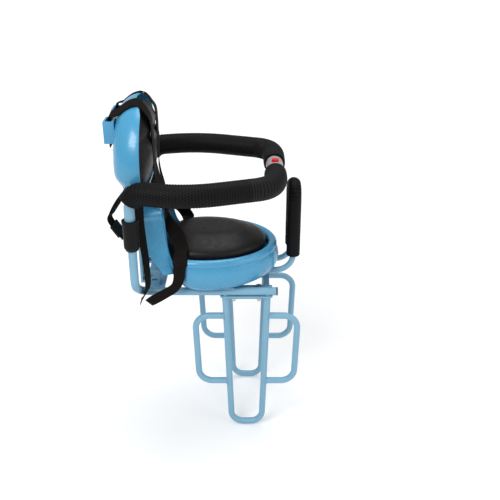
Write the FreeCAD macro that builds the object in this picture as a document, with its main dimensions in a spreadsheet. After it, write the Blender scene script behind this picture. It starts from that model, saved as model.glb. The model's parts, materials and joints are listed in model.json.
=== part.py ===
import FreeCAD, Part
import Sketcher
import math
import os
from FreeCAD import Rotation, Vector

# Rear child bike seat. X points forward along the bike, Y to its left, Z up.
# The origin is the middle of the rack clamp, on the face that lies on the rack.

doc = FreeCAD.newDocument("rear_child_bike_seat")
sheet = doc.addObject("Spreadsheet::Sheet", "Sizes")

SIZES = [
    ("tube_od", 15.0, "side tube, outside diameter"),
    ("tube_wall", 1.5, "side tube, wall"),
    ("bar_y", 80.0, "base bar, distance from the middle"),
    ("bar_front_x", 54.5, "base bar, front end"),
    ("bar_rear_x", -190.0, "base bar, rear bend"),
    ("bar_bend_r", 25.0, "base bar, bend radius"),
    ("post_x", -193.0, "gate post"),
    ("post_y", 128.0, "gate post, distance from the middle"),
    ("post_knee_z", 46.0, "gate post, height of its lower bend"),
    ("post_bend_r", 25.0, "gate post, bend radius"),
    ("plug_flange", 2.5, "end plug, flange thickness"),
    ("plug_depth", 10.0, "end plug, spigot length"),
    ("plug_gap", 0.1, "end plug, gap round its spigot"),
    ("plate_len", 96.0, "upper clamp plate, along X"),
    ("plate_edge", 0.5, "upper clamp plate, width past the bars"),
    ("plate_thick", 3.0, "clamp plates, thickness"),
    ("plate_corner_r", 6.0, "clamp plates, corner radius"),
    ("rack_gap", 13.0, "room for the rack between the clamp plates"),
    ("plate_waist_front_x", 43.0, "upper clamp plate, front edge between the bolts"),
    ("plate_waist_rear_x", -33.0, "upper clamp plate, rear edge between the bolts"),
    ("plate_rung", 11.0, "upper clamp plate, width of its cross rungs"),
    ("plate_open_y", 42.0, "upper clamp plate, outer end of its windows"),
    ("plate_rail", 16.0, "upper clamp plate, width of its middle rail"),
    ("lower_len", 66.0, "lower clamp plate, along X"),
    ("lower_width", 24.0, "lower clamp plate, along Y"),
    ("bolt_dx", 46.0, "clamp bolts, spacing along X"),
    ("bolt_dy", 100.0, "clamp bolts, spacing along Y"),
    ("bolt_r", 3.0, "bolt shank radius"),
    ("bolt_hole_gap", 0.4, "gap round a bolt in its hole"),
    ("thread_gap", 0.05, "gap between a bolt and its nut"),
    ("hex_r", 5.8, "bolt heads and nuts, radius over the corners"),
    ("head_high", 4.0, "bolt head height"),
    ("nut_high", 5.0, "nut height"),
    ("bolt_tail", 4.0, "bolt end past its nut"),
    ("washer_r", 6.4, "washer radius"),
    ("washer_thick", 1.2, "washer thickness"),
    ("rod_r", 6.0, "footrest rod radius"),
    ("leg_top_x", 38.6, "stirrup leg at the plate"),
    ("leg_low_x", 29.6, "stirrup leg at its foot"),
    ("stirrup_low_z", -285.0, "stirrup foot, rod axis"),
    ("stirrup_bend_r", 23.0, "stirrup foot, bend radius"),
    ("loop_reach", 95.5, "footrest loop, distance of its outer run"),
    ("loop_low_reach", 91.0, "footrest loop, distance of its outer run at the bottom"),
    ("loop_top_z", -41.0, "footrest loop, upper run"),
    ("loop_low_z", -187.0, "footrest loop, lower run"),
    ("loop_bend_r", 26.0, "footrest loop, bend radius"),
    ("weld_gap", 0.1, "gap at a weld"),
    ("leg_hole_gap", 0.4, "gap round a stirrup leg in the plate"),
    ("strap_bar_wide", 25.0, "front cross strap, width"),
    ("strap_bar_thick", 2.5, "front cross strap, thickness"),
    ("cross_x", -34.0, "front cross strap, middle"),
    ("handle_r", 5.5, "handle rod radius"),
    ("handle_x", 86.8, "handle, upright legs"),
    ("handle_half_y", 24.0, "handle, half the leg spacing"),
    ("handle_top_z", 187.0, "handle, top of the rod axis"),
    ("handle_top_r", 23.4, "handle, top bend radius"),
    ("handle_low_r", 31.5, "handle, lower bend radius"),
    ("handle_tail_x", -46.0, "handle, rear end of its runs"),
    ("grip_r", 13.0, "handle grip radius"),
    ("grip_low_z", 58.0, "handle grip, lower ends"),
    ("foam_gap", 0.3, "gap between foam and tube"),
    ("bracket_front_x", -150.0, "rear bracket, front edge"),
    ("bracket_rear_x", -187.0, "rear bracket, rear edge"),
    ("bracket_thick", 3.0, "rear bracket, sheet thickness"),
    ("bracket_z", 9.0, "rear bracket, underside"),
    ("ear_y", 60.0, "rear bracket ear, distance from the middle"),
    ("ear_front_x", -160.0, "rear bracket ear, front edge"),
    ("ear_top_z", 44.5, "rear bracket ear, top"),
    ("ear_hole_r", 3.4, "rear bracket ear, round hole"),
    ("ear_hole_x", -173.0, "rear bracket ear, round hole"),
    ("ear_hole_z", 33.0, "rear bracket ear, round hole"),
    ("ear_slot_len", 12.0, "rear bracket ear, slot length"),
    ("ear_slot_wide", 5.0, "rear bracket ear, slot width"),
    ("ear_slot_x", -168.0, "rear bracket ear, slot middle"),
    ("ear_slot_z", 24.0, "rear bracket ear, slot middle"),
    ("strut_y", 40.0, "back strut, distance from the middle"),
    ("strut_wide", 20.0, "back strut, width"),
    ("strut_thick", 4.0, "back strut, thickness"),
    ("strut_x", -192.0, "back strut, front face of its riser"),
    ("strut_foot_x", -171.0, "back strut, front end of its foot"),
    ("strut_knee_z", 172.0, "back strut, start of its joggle"),
    ("strut_rise", 44.0, "back strut, height of its joggle"),
    ("strut_top_z", 274.0, "back strut, top"),
    ("foot_bolt_x", -179.0, "bolt through the strut foot"),
    ("neck_bolt_z", 128.0, "bolt through the seat neck"),
    ("neck_boss_r", 9.0, "neck boss radius"),
    ("back_bolt_low_z", 241.0, "lower bolt of the backrest"),
    ("back_bolt_dz", 22.0, "spacing of the backrest bolts"),
    ("shell_wall", 3.0, "moulded shells, wall"),
    ("widest_x", -75.0, "seat, where it is widest"),
    ("skirt_gap", 0.4, "gap between the seat skirt and the bars"),
    ("foot_front_x", 42.0, "seat skirt, front"),
    ("foot_rear_x", -130.0, "seat skirt, rear"),
    ("foot_half_w", 92.0, "seat skirt, half width"),
    ("belly_z", 46.0, "seat belly, height"),
    ("belly_front_x", 60.0, "seat belly, front"),
    ("belly_rear_x", -150.0, "seat belly, rear"),
    ("belly_half_w", 107.0, "seat belly, half width"),
    ("rim_z", 74.0, "seat rim, height"),
    ("rim_front_x", 53.0, "seat rim, front"),
    ("rim_rear_x", -166.0, "seat rim, rear"),
    ("rim_half_w", 101.0, "seat rim, half width"),
    ("lip_r", 8.0, "rolled lip on the seat rim, radius"),
    ("lip_in", 4.0, "rolled lip on the seat rim, distance of its middle inside the rim"),
    ("neck_z", 130.0, "seat neck, middle height"),
    ("neck_rear_x", -182.0, "seat neck, rear"),
    ("neck_half_w", 76.0, "seat neck, half width"),
    ("neck_top_z", 168.0, "seat neck, top"),
    ("neck_top_rear_x", -188.0, "seat neck, rear at its top"),
    ("neck_top_half_w", 60.0, "seat neck, half width at its top"),
    ("wing_mid_x", -143.0, "seat wing, front edge at its waist"),
    ("wing_top_x", -158.0, "seat wing, front edge at its top"),
    ("heel_x", -123.0, "seat skirt, where its heel starts"),
    ("heel_z", 46.0, "seat skirt, underside of its heel"),
    ("nose_gap", 0.8, "gap between the handle runs and the seat nose"),
    ("belt_slot_x", -117.0, "belt slot in the seat side, middle of its mouth"),
    ("belt_slot_wide", 28.0, "belt slot in the seat side, width of its mouth"),
    ("belt_slot_low_r", 4.0, "belt slot in the seat side, radius of its lower end"),
    ("belt_slot_low_x", -119.0, "belt slot in the seat side, middle of its lower end"),
    ("belt_slot_low_z", 42.0, "belt slot in the seat side, lower end"),
    ("belt_slot_y", 72.0, "belt slot in the seat side, inner end"),
    ("floor_z", 58.0, "seat floor, upper face"),
    ("boss_r", 8.0, "seat boss radius"),
    ("boss_y", 45.0, "seat boss, distance from the middle"),
    ("boss_bolt_depth", 22.0, "seat boss, depth of its bolt hole"),
    ("rib_thick", 2.5, "ribs under the seat floor, thickness"),
    ("rib_deep", 14.0, "ribs under the seat floor, depth"),
    ("rib_half_y", 78.0, "ribs under the seat floor, half length"),
    ("window_half_y", 21.0, "window in the neck, half width"),
    ("window_low_z", 98.0, "window in the neck, lower edge"),
    ("window_high_z", 148.0, "window in the neck, upper edge"),
    ("dish_rear_x", -222.0, "backrest, rear face"),
    ("dish_rim_x", -174.0, "backrest, front rim"),
    ("dish_mid_z", 242.0, "backrest, where it is widest"),
    ("dish_top_z", 352.0, "backrest, top"),
    ("dish_low_z", 192.0, "backrest, lower edge"),
    ("dish_half_w", 114.0, "backrest, half width"),
    ("guide_y", 40.0, "belt guide, distance from the middle"),
    ("guide_wide", 34.0, "belt guide, width"),
    ("guide_deep", 17.0, "belt guide, depth"),
    ("guide_drop", 33.0, "belt guide, distance below the top of the backrest"),
    ("guide_long", 38.0, "belt guide, length"),
    ("guide_wall", 3.0, "belt guide, wall"),
    ("pad_gap", 0.4, "gap between a cushion and its shell"),
    ("seat_pad_front_x", 39.5, "seat cushion, front"),
    ("seat_pad_half_w", 87.5, "seat cushion, half width"),
    ("seat_pad_rear_x", -150.0, "seat cushion, rear"),
    ("seat_pad_top_z", 107.0, "seat cushion, crown"),
    ("back_pad_rim", 8.0, "back cushion, distance inside the top and lower edge of the backrest"),
    ("back_pad_side", 9.0, "back cushion, distance inside the sides of the backrest"),
    ("back_pad_x", -163.0, "back cushion, crown"),
    ("sleeve_r", 13.5, "pivot sleeve radius"),
    ("sleeve_lip", 0.8, "pivot sleeve, width of its lip"),
    ("sleeve_lip_high", 5.0, "pivot sleeve, height of its lip"),
    ("sleeve_low_z", 117.0, "pivot sleeve, lower end"),
    ("sleeve_top_z", 172.0, "pivot sleeve, upper end"),
    ("sleeve_taper", 6.0, "pivot sleeve, height of its tapered foot"),
    ("sleeve_foot_r", 10.5, "pivot sleeve, radius at its foot"),
    ("sleeve_fit", 0.05, "gap between the sleeve and the post"),
    ("socket_deep", 12.0, "pivot sleeve, depth of the arm's socket"),
    ("arm_r", 9.0, "arm tube radius"),
    ("arm_run", 0.06, "running gap between arm and post"),
    ("arm_free", 0.3, "free gap round the arm's lower end"),
    ("arm_bore_over", 2.0, "arm bore, length past the post"),
    ("arm_z", 221.0, "gate arm, height of its axis"),
    ("arm_bend_r", 30.0, "gate arm, rear bend radius"),
    ("arm_side_x", -100.0, "gate arm, side bend"),
    ("arm_side_y", 155.0, "gate arm, side bend"),
    ("arm_side_r", 185.0, "gate arm, side bend radius"),
    ("arm_corner_x", 42.0, "gate arm, front corner"),
    ("arm_corner_y", 108.0, "gate arm, front corner"),
    ("arm_corner_r", 45.0, "gate arm, front corner radius"),
    ("arm_front_x", 51.0, "gate arm, front run"),
    ("arm_front_y", 70.0, "gate arm, front bend"),
    ("arm_front_r", 95.0, "gate arm, front bend radius"),
    ("foam_r", 20.0, "arm foam radius"),
    ("foam_low_z", 199.0, "arm foam, rear end"),
    ("foam_end_gap", 0.3, "gap between the arm foam and the latch"),
    ("latch_r", 15.5, "latch radius"),
    ("latch_right", 34.0, "latch, length of its right half"),
    ("latch_left", 17.0, "latch, length of its left half"),
    ("latch_gap", 0.2, "latch, half the gap between its halves"),
    ("spigot_gap", 0.1, "gap round a latch spigot in its tube"),
    ("spigot_len", 15.0, "latch spigot length"),
    ("arm_wall", 1.4, "arm tube wall"),
    ("tongue_long", 17.0, "latch tongue, length"),
    ("tongue_half_x", 9.0, "latch tongue, half width"),
    ("tongue_thick", 5.4, "latch tongue, thickness"),
    ("tongue_gap", 0.3, "gap round the latch tongue"),
    ("button_r", 6.3, "release button, radius"),
    ("button_y", -12.5, "release button, middle"),
    ("button_gap", 0.25, "gap round the release button"),
    ("button_high", 4.0, "release button, height of its cap"),
    ("button_proud", 3.2, "release button, height over the latch"),
    ("button_travel", 3.0, "release button, travel"),
    ("button_sink", 7.5, "release button, depth of its well"),
    ("stem_r", 1.7, "release button, stem radius"),
    ("spring_wire_r", 0.35, "button spring, wire radius"),
    ("spring_r", 2.7, "button spring, coil radius"),
    ("spring_turns", 3.0, "button spring, turns"),
    ("belt_wide", 25.0, "belt webbing, width"),
    ("belt_thick", 1.6, "belt webbing, thickness"),
    ("buckle_z", 148.0, "harness buckle, middle height"),
    ("buckle_len", 46.0, "harness buckle, height"),
    ("buckle_wide", 40.0, "harness buckle, width"),
    ("buckle_thick", 9.0, "harness buckle, thickness"),
    ("slider_len", 24.0, "belt slider, length"),
    ("slider_wide", 33.0, "belt slider, width"),
    ("slider_thick", 5.0, "belt slider, thickness"),
]
for row, (alias, value, note) in enumerate(SIZES, 1):
    sheet.set("A%d" % row, note)
    sheet.set("B%d" % row, str(value))
    sheet.setAlias("B%d" % row, alias)
doc.recompute()


def size(name):
    return float(sheet.get(name))


# Heights and radii that follow from the sizes above.
DERIVED = [
    ("bar_r", "=tube_od / 2"),
    ("plate_width", "=2 * (bar_y + tube_od / 2 + plate_edge)"),
    ("bar_z", "=plate_thick + tube_od / 2"),
    ("bar_top_z", "=plate_thick + tube_od"),
    ("strap_top_z", "=bar_top_z + strap_bar_thick"),
    ("handle_z", "=strap_top_z + handle_r"),
    ("skirt_z", "=bar_top_z + skirt_gap"),
    ("hole_r", "=bolt_r + bolt_hole_gap"),
    ("nut_hole_r", "=bolt_r + thread_gap"),
    ("lower_top_z", "=-rack_gap"),
    ("lower_low_z", "=-rack_gap - plate_thick"),
    ("bracket_top_z", "=bracket_z + bracket_thick"),
    ("strut_dish_x", "=dish_rear_x - 0.2"),
    ("arm_low_z", "=sleeve_top_z - socket_deep + arm_free"),
    ("post_top_z", "=arm_z - arm_bend_r - arm_bore_over"),
    ("slot_half_z", "=tongue_thick / 2 + tongue_gap"),
    ("well_floor_z", "=arm_z + latch_r - button_sink"),
]
for row, (alias, formula) in enumerate(DERIVED, len(SIZES) + 1):
    sheet.set("A%d" % row, "follows from the sizes above")
    sheet.set("B%d" % row, formula)
    sheet.setAlias("B%d" % row, alias)
doc.recompute()

pieces = []


def keep(obj, label):
    """Name an object as a finished piece."""
    obj.Label = label
    pieces.append(obj)
    return obj


def bind(obj, **exprs):
    """Tie properties of an object to the size sheet."""
    for prop, expr in exprs.items():
        obj.setExpression(prop.replace("__", "."), expr)
    return obj


def at(obj, x="0", y="0", z="0"):
    """Tie an object's position to the size sheet."""
    for axis, expr in (("x", x), ("y", y), ("z", z)):
        obj.setExpression("Placement.Base." + axis, expr)
    return obj


def turned(obj, axis, angle):
    obj.Placement.Rotation = Rotation(axis, angle)
    return obj


def box(name, length, width, height, x, y, z):
    obj = doc.addObject("Part::Box", name)
    bind(obj, Length=length, Width=width, Height=height)
    return at(obj, x, y, z)


def cylinder(name, radius, height, x, y, z):
    obj = doc.addObject("Part::Cylinder", name)
    bind(obj, Radius=radius, Height=height)
    return at(obj, x, y, z)


def hexagon(name, height, x, y, z):
    obj = doc.addObject("Part::Prism", name)
    obj.Polygon = 6
    bind(obj, Circumradius="Sizes.hex_r", Height=height)
    return at(obj, x, y, z)


def fused(name, shapes):
    obj = doc.addObject("Part::MultiFuse", name)
    obj.Shapes = shapes
    obj.Refine = True
    return obj


def cut(name, base, tool):
    obj = doc.addObject("Part::Cut", name)
    obj.Base = base
    obj.Tool = tool
    return obj


def group(name, shapes):
    obj = doc.addObject("Part::Compound", name)
    obj.Links = shapes
    return obj


def mirrored(name, source):
    """The same piece on the other side of the bike."""
    obj = doc.addObject("Part::Mirroring", name)
    obj.Source = source
    obj.Base = Vector(0, 0, 0)
    obj.Normal = Vector(0, 1, 0)
    return obj


def plain(name, shape):
    """A piece whose form needs Part's own functions."""
    obj = doc.addObject("Part::Feature", name)
    obj.Shape = shape
    return obj


def origin_plane(body, role):
    return [f for f in body.Origin.OriginFeatures if f.Role == role][0]


def sketch_on(body, role):
    sketch = body.newObject("Sketcher::SketchObject", body.Name + "_sketch")
    sketch.AttachmentSupport = [(origin_plane(body, role), "")]
    sketch.MapMode = "FlatFace"
    return sketch


def polygon(sketch, points):
    """A closed outline whose corners are tied to the size sheet."""
    count = len(points)
    first = sketch.GeometryCount
    guess = []
    for i in range(count):
        turn = 2 * math.pi * i / count
        guess.append(Vector(30 + 20 * math.cos(turn), 30 + 20 * math.sin(turn), 0))
    for i in range(count):
        sketch.addGeometry(Part.LineSegment(guess[i], guess[(i + 1) % count]), False)
    for i in range(count):
        after = first + (i + 1) % count
        sketch.addConstraint(Sketcher.Constraint("Coincident", first + i, 2, after, 1))
    for i, (x, y) in enumerate(points):
        n = sketch.addConstraint(Sketcher.Constraint("DistanceX", -1, 1, first + i, 1, guess[i].x))
        sketch.setExpression("Constraints[%d]" % n, x)
        n = sketch.addConstraint(Sketcher.Constraint("DistanceY", -1, 1, first + i, 1, guess[i].y))
        sketch.setExpression("Constraints[%d]" % n, y)


def circle(sketch, radius, x, y):
    """A round hole in a sketch, tied to the size sheet."""
    g = sketch.addGeometry(Part.Circle(Vector(1, 1, 0), Vector(0, 0, 1), 1), False)
    n = sketch.addConstraint(Sketcher.Constraint("Radius", g, 1))
    sketch.setExpression("Constraints[%d]" % n, radius)
    n = sketch.addConstraint(Sketcher.Constraint("DistanceX", -1, 1, g, 3, 1))
    sketch.setExpression("Constraints[%d]" % n, x)
    n = sketch.addConstraint(Sketcher.Constraint("DistanceY", -1, 1, g, 3, 1))
    sketch.setExpression("Constraints[%d]" % n, y)


def padded(name, role, points, holes, length, midplane=False):
    """A plate: a sketched outline with round holes, padded to its thickness."""
    body = doc.addObject("PartDesign::Body", name)
    sketch = sketch_on(body, role)
    polygon(sketch, points)
    for radius, x, y in holes:
        circle(sketch, radius, x, y)
    pad = body.newObject("PartDesign::Pad", name + "_pad")
    pad.Profile = sketch
    pad.setExpression("Length", length)
    if midplane:
        pad.SideType = "Symmetric"
    doc.recompute()
    return body


def round_corners(body, radius):
    """Round the upright edges of a flat plate's four corners."""
    plate = body.Tip
    shape = plate.Shape
    far = [max(abs(v.Point[k]) for v in shape.Vertexes) for k in (0, 1)]
    names = []
    for i, edge in enumerate(shape.Edges, 1):
        a = edge.Vertexes[0].Point
        b = edge.Vertexes[-1].Point
        upright = abs(a.z - b.z) > 1e-6 and math.hypot(a.x - b.x, a.y - b.y) < 1e-6
        if upright and abs(abs(a.x) - far[0]) < 1e-4 and abs(abs(a.y) - far[1]) < 1e-4:
            names.append("Edge%d" % i)
    fillet = body.newObject("PartDesign::Fillet", body.Name + "_fillet")
    fillet.Base = (plate, names)
    fillet.setExpression("Radius", radius)
    doc.recompute()
    body.Tip = fillet
    return body


def revolved(name, points):
    """A turned piece: a half section in the XZ plane, turned about Z."""
    body = doc.addObject("PartDesign::Body", name)
    sketch = sketch_on(body, "XZ_Plane")
    polygon(sketch, points)
    turn = body.newObject("PartDesign::Revolution", name + "_turn")
    turn.Profile = sketch
    turn.ReferenceAxis = (sketch, ["V_Axis"])
    turn.Angle = 360
    doc.recompute()
    return body


def bent_path(points, radii):
    """Straight runs joined by tangent arcs, one radius for each inner corner."""
    corners = [Vector(*p) for p in points]
    edges = []
    start = corners[0]
    for before, corner, after, radius in zip(corners, corners[1:], corners[2:], radii):
        u = (before - corner).normalize()
        w = (after - corner).normalize()
        half = u.getAngle(w) / 2
        reach = radius / math.tan(half)
        first = corner + u * reach
        last = corner + w * reach
        middle = corner + (u + w).normalize() * (radius / math.sin(half) - radius)
        edges.append(Part.LineSegment(start, first).toShape())
        edges.append(Part.Arc(first, middle, last).toShape())
        start = last
    edges.append(Part.LineSegment(start, corners[-1]).toShape())
    return Part.Wire(edges)


def rod(path, radius):
    """A round rod along a bent path."""
    start = path.Edges[0].firstVertex().Point
    along = path.Edges[0].tangentAt(path.Edges[0].FirstParameter)
    ring = Part.Wire([Part.Circle(start, along, radius).toShape()])
    solid = Part.Solid(path.makePipeShell([ring], True, False))
    return solid if solid.Volume > 0 else solid.reversed()


def part_of(path, low, high):
    """The stretch of a path between two lengths along it."""
    edges = []
    done = 0.0
    for edge in path.Edges:
        a = max(low - done, 0.0)
        b = min(high - done, edge.Length)
        if b - a > 1e-6:
            u0 = edge.getParameterByLength(a)
            u1 = edge.getParameterByLength(b)
            edges.append(edge.Curve.toShape(u0, u1))
        done += edge.Length
    return Part.Wire(edges)


def prism(points, y_low, y_high):
    """A side-view outline in X and Z, drawn out along Y."""
    wire = Part.makePolygon([Vector(x, y_low, z) for x, z in points + points[:1]])
    return Part.Face(wire).extrude(Vector(0, y_high - y_low, 0))


def power(value, exponent):
    return math.copysign(abs(value) ** exponent, value)


def plan_outline(z, front_x, rear_x, half_w, steps=28):
    """The seat's outline in plan: half an ellipse in front, a squarer half behind."""
    points = []
    for i in range(steps):
        turn = 2 * math.pi * i / steps
        c = math.cos(turn)
        s = math.sin(turn)
        if c >= 0:
            points.append(Vector(size("widest_x") + (front_x - size("widest_x")) * c, half_w * s, z))
        else:
            x = size("widest_x") + (size("widest_x") - rear_x) * power(c, 0.8)
            points.append(Vector(x, half_w * power(s, 0.8), z))
    curve = Part.BSplineCurve()
    curve.interpolate(points, PeriodicFlag=True)
    return Part.Wire([curve.toShape()])


def front_outline(x, top_z, low_z, half_w, steps=28):
    """The backrest's outline from the front: an egg, flatter below."""
    points = []
    for i in range(steps):
        turn = 2 * math.pi * i / steps
        c = math.cos(turn)
        s = math.sin(turn)
        if c >= 0:
            points.append(Vector(x, half_w * s, size("dish_mid_z") + (top_z - size("dish_mid_z")) * c))
        else:
            z = size("dish_mid_z") + (size("dish_mid_z") - low_z) * power(c, 0.85)
            points.append(Vector(x, half_w * power(s, 0.85), z))
    curve = Part.BSplineCurve()
    curve.interpolate(points, PeriodicFlag=True)
    return Part.Wire([curve.toShape()])


def loft(wires):
    solid = Part.makeLoft(wires, True, False)
    return solid if solid.Volume > 0 else solid.reversed()


def ribbon(stations):
    """A strap of flat sections: each a middle point, a width direction and a share of the width."""
    half_t = size("belt_thick") / 2
    middles = [Vector(*s[0]) for s in stations]
    wires = []
    for i, (_, across, share) in enumerate(stations):
        ahead = middles[min(i + 1, len(middles) - 1)] - middles[max(i - 1, 0)]
        n = ahead.cross(Vector(*across)).normalize()
        w = n.cross(ahead).normalize() * (size("belt_wide") / 2 * share)
        n = n * half_t
        m = middles[i]
        corners = [m + w + n, m - w + n, m - w - n, m + w - n]
        wires.append(Part.makePolygon(corners + corners[:1]))
    solid = Part.makeLoft(wires, True, True)
    return solid if solid.Volume > 0 else solid.reversed()


# Side tubes: a base bar under each side of the seat that bends up into a gate post.
bar_path = bent_path(
    [
        (size("bar_front_x"), -size("bar_y"), size("bar_z")),
        (size("bar_rear_x"), -size("bar_y"), size("bar_z")),
        (size("post_x"), -size("post_y"), size("post_knee_z")),
        (size("post_x"), -size("post_y"), size("post_top_z")),
    ],
    [size("bar_bend_r"), size("post_bend_r")],
)
side_outer = rod(bar_path, size("bar_r"))
side_inner = rod(bar_path, size("bar_r") - size("tube_wall"))
side_tube = plain("side_tube", side_outer.cut(side_inner))
keep(side_tube, "right_side_tube")
keep(mirrored("side_tube_left", side_tube), "left_side_tube")

# Black plugs close the front ends of the base bars.
plug = revolved(
    "plug",
    [
        ("0", "0"),
        ("Sizes.bar_r", "0"),
        ("Sizes.bar_r", "Sizes.plug_flange"),
        ("0", "Sizes.plug_flange"),
    ],
)
spigot = cylinder(
    "plug_spigot",
    "Sizes.bar_r - Sizes.tube_wall - Sizes.plug_gap",
    "Sizes.plug_depth",
    "0",
    "0",
    "0",
)
at(turned(plug, Vector(0, 1, 0), 90), "Sizes.bar_front_x", "-Sizes.bar_y", "Sizes.bar_z")
at(turned(spigot, Vector(0, 1, 0), -90), "Sizes.bar_front_x", "-Sizes.bar_y", "Sizes.bar_z")
right_plug = fused("right_plug", [plug, spigot])
keep(group("plugs", [right_plug, mirrored("left_plug", right_plug)]), "tube_end_plugs")

# Clamp plates above and below the rack's rails, with four bolts through both.
bolt_spots = [("%s Sizes.bolt_dx / 2" % a, "%s Sizes.bolt_dy / 2" % b) for a in ("-", "") for b in ("-", "")]
leg_spots = [("%s Sizes.leg_top_x" % a, "%s Sizes.bar_y" % b) for a in ("-", "") for b in ("-", "")]
upper_plate = padded(
    "upper_plate",
    "XY_Plane",
    [
        ("-Sizes.plate_len / 2", "-Sizes.plate_width / 2"),
        ("Sizes.plate_len / 2", "-Sizes.plate_width / 2"),
        ("Sizes.plate_len / 2", "Sizes.plate_width / 2"),
        ("-Sizes.plate_len / 2", "Sizes.plate_width / 2"),
    ],
    [("Sizes.hole_r", x, y) for x, y in bolt_spots]
    + [("Sizes.rod_r + Sizes.leg_hole_gap", x, y) for x, y in leg_spots],
    "Sizes.plate_thick",
)
round_corners(upper_plate, "Sizes.plate_corner_r")
plate_cuts = []
window_long = "Sizes.plate_waist_front_x - Sizes.plate_waist_rear_x - 2 * Sizes.plate_rung"
window_wide = "Sizes.plate_open_y - Sizes.plate_rail / 2"
for i, y in enumerate(("-Sizes.plate_open_y", "Sizes.plate_rail / 2")):
    window_x = "Sizes.plate_waist_rear_x + Sizes.plate_rung"
    plate_cuts.append(
        box("plate_window%d" % i, window_long, window_wide, "Sizes.plate_thick", window_x, y, "0"),
    )
for i, x in enumerate(("Sizes.plate_waist_front_x", "Sizes.plate_waist_rear_x - Sizes.plate_len")):
    waist_wide = "2 * Sizes.plate_open_y"
    plate_cuts.append(
        box(
            "plate_waist%d" % i,
            "Sizes.plate_len",
            waist_wide,
            "Sizes.plate_thick",
            x,
            "-Sizes.plate_open_y",
            "0",
        )
    )
keep(cut("ladder_plate", upper_plate, fused("plate_cuts", plate_cuts)), "upper_clamp_plate")
lower_plate = padded(
    "lower_plate",
    "XY_Plane",
    [
        ("-Sizes.lower_len / 2", "-Sizes.lower_width / 2"),
        ("Sizes.lower_len / 2", "-Sizes.lower_width / 2"),
        ("Sizes.lower_len / 2", "Sizes.lower_width / 2"),
        ("-Sizes.lower_len / 2", "Sizes.lower_width / 2"),
    ],
    [("Sizes.hole_r", "%s Sizes.bolt_dx / 2" % a, "0") for a in ("-", "")],
    "Sizes.plate_thick",
)
round_corners(lower_plate, "Sizes.plate_corner_r")
at(lower_plate, "0", "-Sizes.bolt_dy / 2", "Sizes.lower_low_z")
lower_pair = group("lower_pair", [lower_plate, mirrored("lower_plate_left", lower_plate)])
keep(lower_pair, "lower_clamp_plates")

clamp_long = "Sizes.plate_thick * 2 + Sizes.rack_gap + Sizes.washer_thick + Sizes.nut_high + Sizes.bolt_tail"
bolts = []
nuts = []
washers = []
for i, (x, y) in enumerate(bolt_spots):
    head = hexagon("clamp_head%d" % i, "Sizes.head_high", x, y, "Sizes.plate_thick")
    shank = cylinder(
        "clamp_shank%d" % i,
        "Sizes.bolt_r",
        clamp_long,
        x,
        y,
        "Sizes.plate_thick - (%s)" % clamp_long,
    )
    bolts.append(fused("clamp_bolt%d" % i, [head, shank]))
    washer_z = "Sizes.lower_low_z - Sizes.washer_thick"
    disc = cylinder("washer_disc%d" % i, "Sizes.washer_r", "Sizes.washer_thick", x, y, washer_z)
    hole = cylinder("washer_hole%d" % i, "Sizes.hole_r", "Sizes.washer_thick", x, y, washer_z)
    washers.append(cut("clamp_washer%d" % i, disc, hole))
    nut_z = "Sizes.lower_low_z - Sizes.washer_thick - Sizes.nut_high"
    block = hexagon("nut_block%d" % i, "Sizes.nut_high", x, y, nut_z)
    hole = cylinder("nut_hole%d" % i, "Sizes.nut_hole_r", "Sizes.nut_high", x, y, nut_z)
    nuts.append(cut("clamp_nut%d" % i, block, hole))
keep(group("clamp_bolt_set", bolts), "clamp_bolts")
keep(group("clamp_washer_set", washers), "clamp_washers")
keep(group("clamp_nut_set", nuts), "clamp_nuts")

# Footrests: a long stirrup with a side loop welded to each leg, in one plane on each side.
leg_slope = (size("leg_top_x") - size("leg_low_x")) / -size("stirrup_low_z")


def leg_x(z):
    return size("leg_top_x") + leg_slope * z


stirrup_path = bent_path(
    [
        (leg_x(size("bar_z")), -size("bar_y"), size("bar_z")),
        (size("leg_low_x"), -size("bar_y"), size("stirrup_low_z")),
        (-size("leg_low_x"), -size("bar_y"), size("stirrup_low_z")),
        (-leg_x(size("bar_z")), -size("bar_y"), size("bar_z")),
    ],
    [size("stirrup_bend_r"), size("stirrup_bend_r")],
)
bar_room = rod(bar_path, size("bar_r") + size("weld_gap"))
stirrup_rod = rod(stirrup_path, size("rod_r")).cut(bar_room)
stirrup_rod = max(stirrup_rod.Solids, key=lambda s: s.Volume)
stirrup = plain("stirrup", stirrup_rod)
keep(stirrup, "right_footrest_stirrup")
keep(mirrored("stirrup_left", stirrup), "left_footrest_stirrup")

stirrup_room = rod(stirrup_path, size("rod_r") + size("weld_gap"))
loop_solids = []
for side in (1, -1):
    loop_path = bent_path(
        [
            (side * leg_x(size("loop_top_z")), -size("bar_y"), size("loop_top_z")),
            (side * size("loop_reach"), -size("bar_y"), size("loop_top_z")),
            (side * size("loop_low_reach"), -size("bar_y"), size("loop_low_z")),
            (side * leg_x(size("loop_low_z")), -size("bar_y"), size("loop_low_z")),
        ],
        [size("loop_bend_r"), size("loop_bend_r")],
    )
    loop = rod(loop_path, size("rod_r")).cut(stirrup_room)
    loop_solids.append(max(loop.Solids, key=lambda s: s.Volume))
loops = plain("loops", Part.makeCompound(loop_solids))
keep(loops, "right_footrest_loops")
keep(mirrored("loops_left", loops), "left_footrest_loops")

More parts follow.
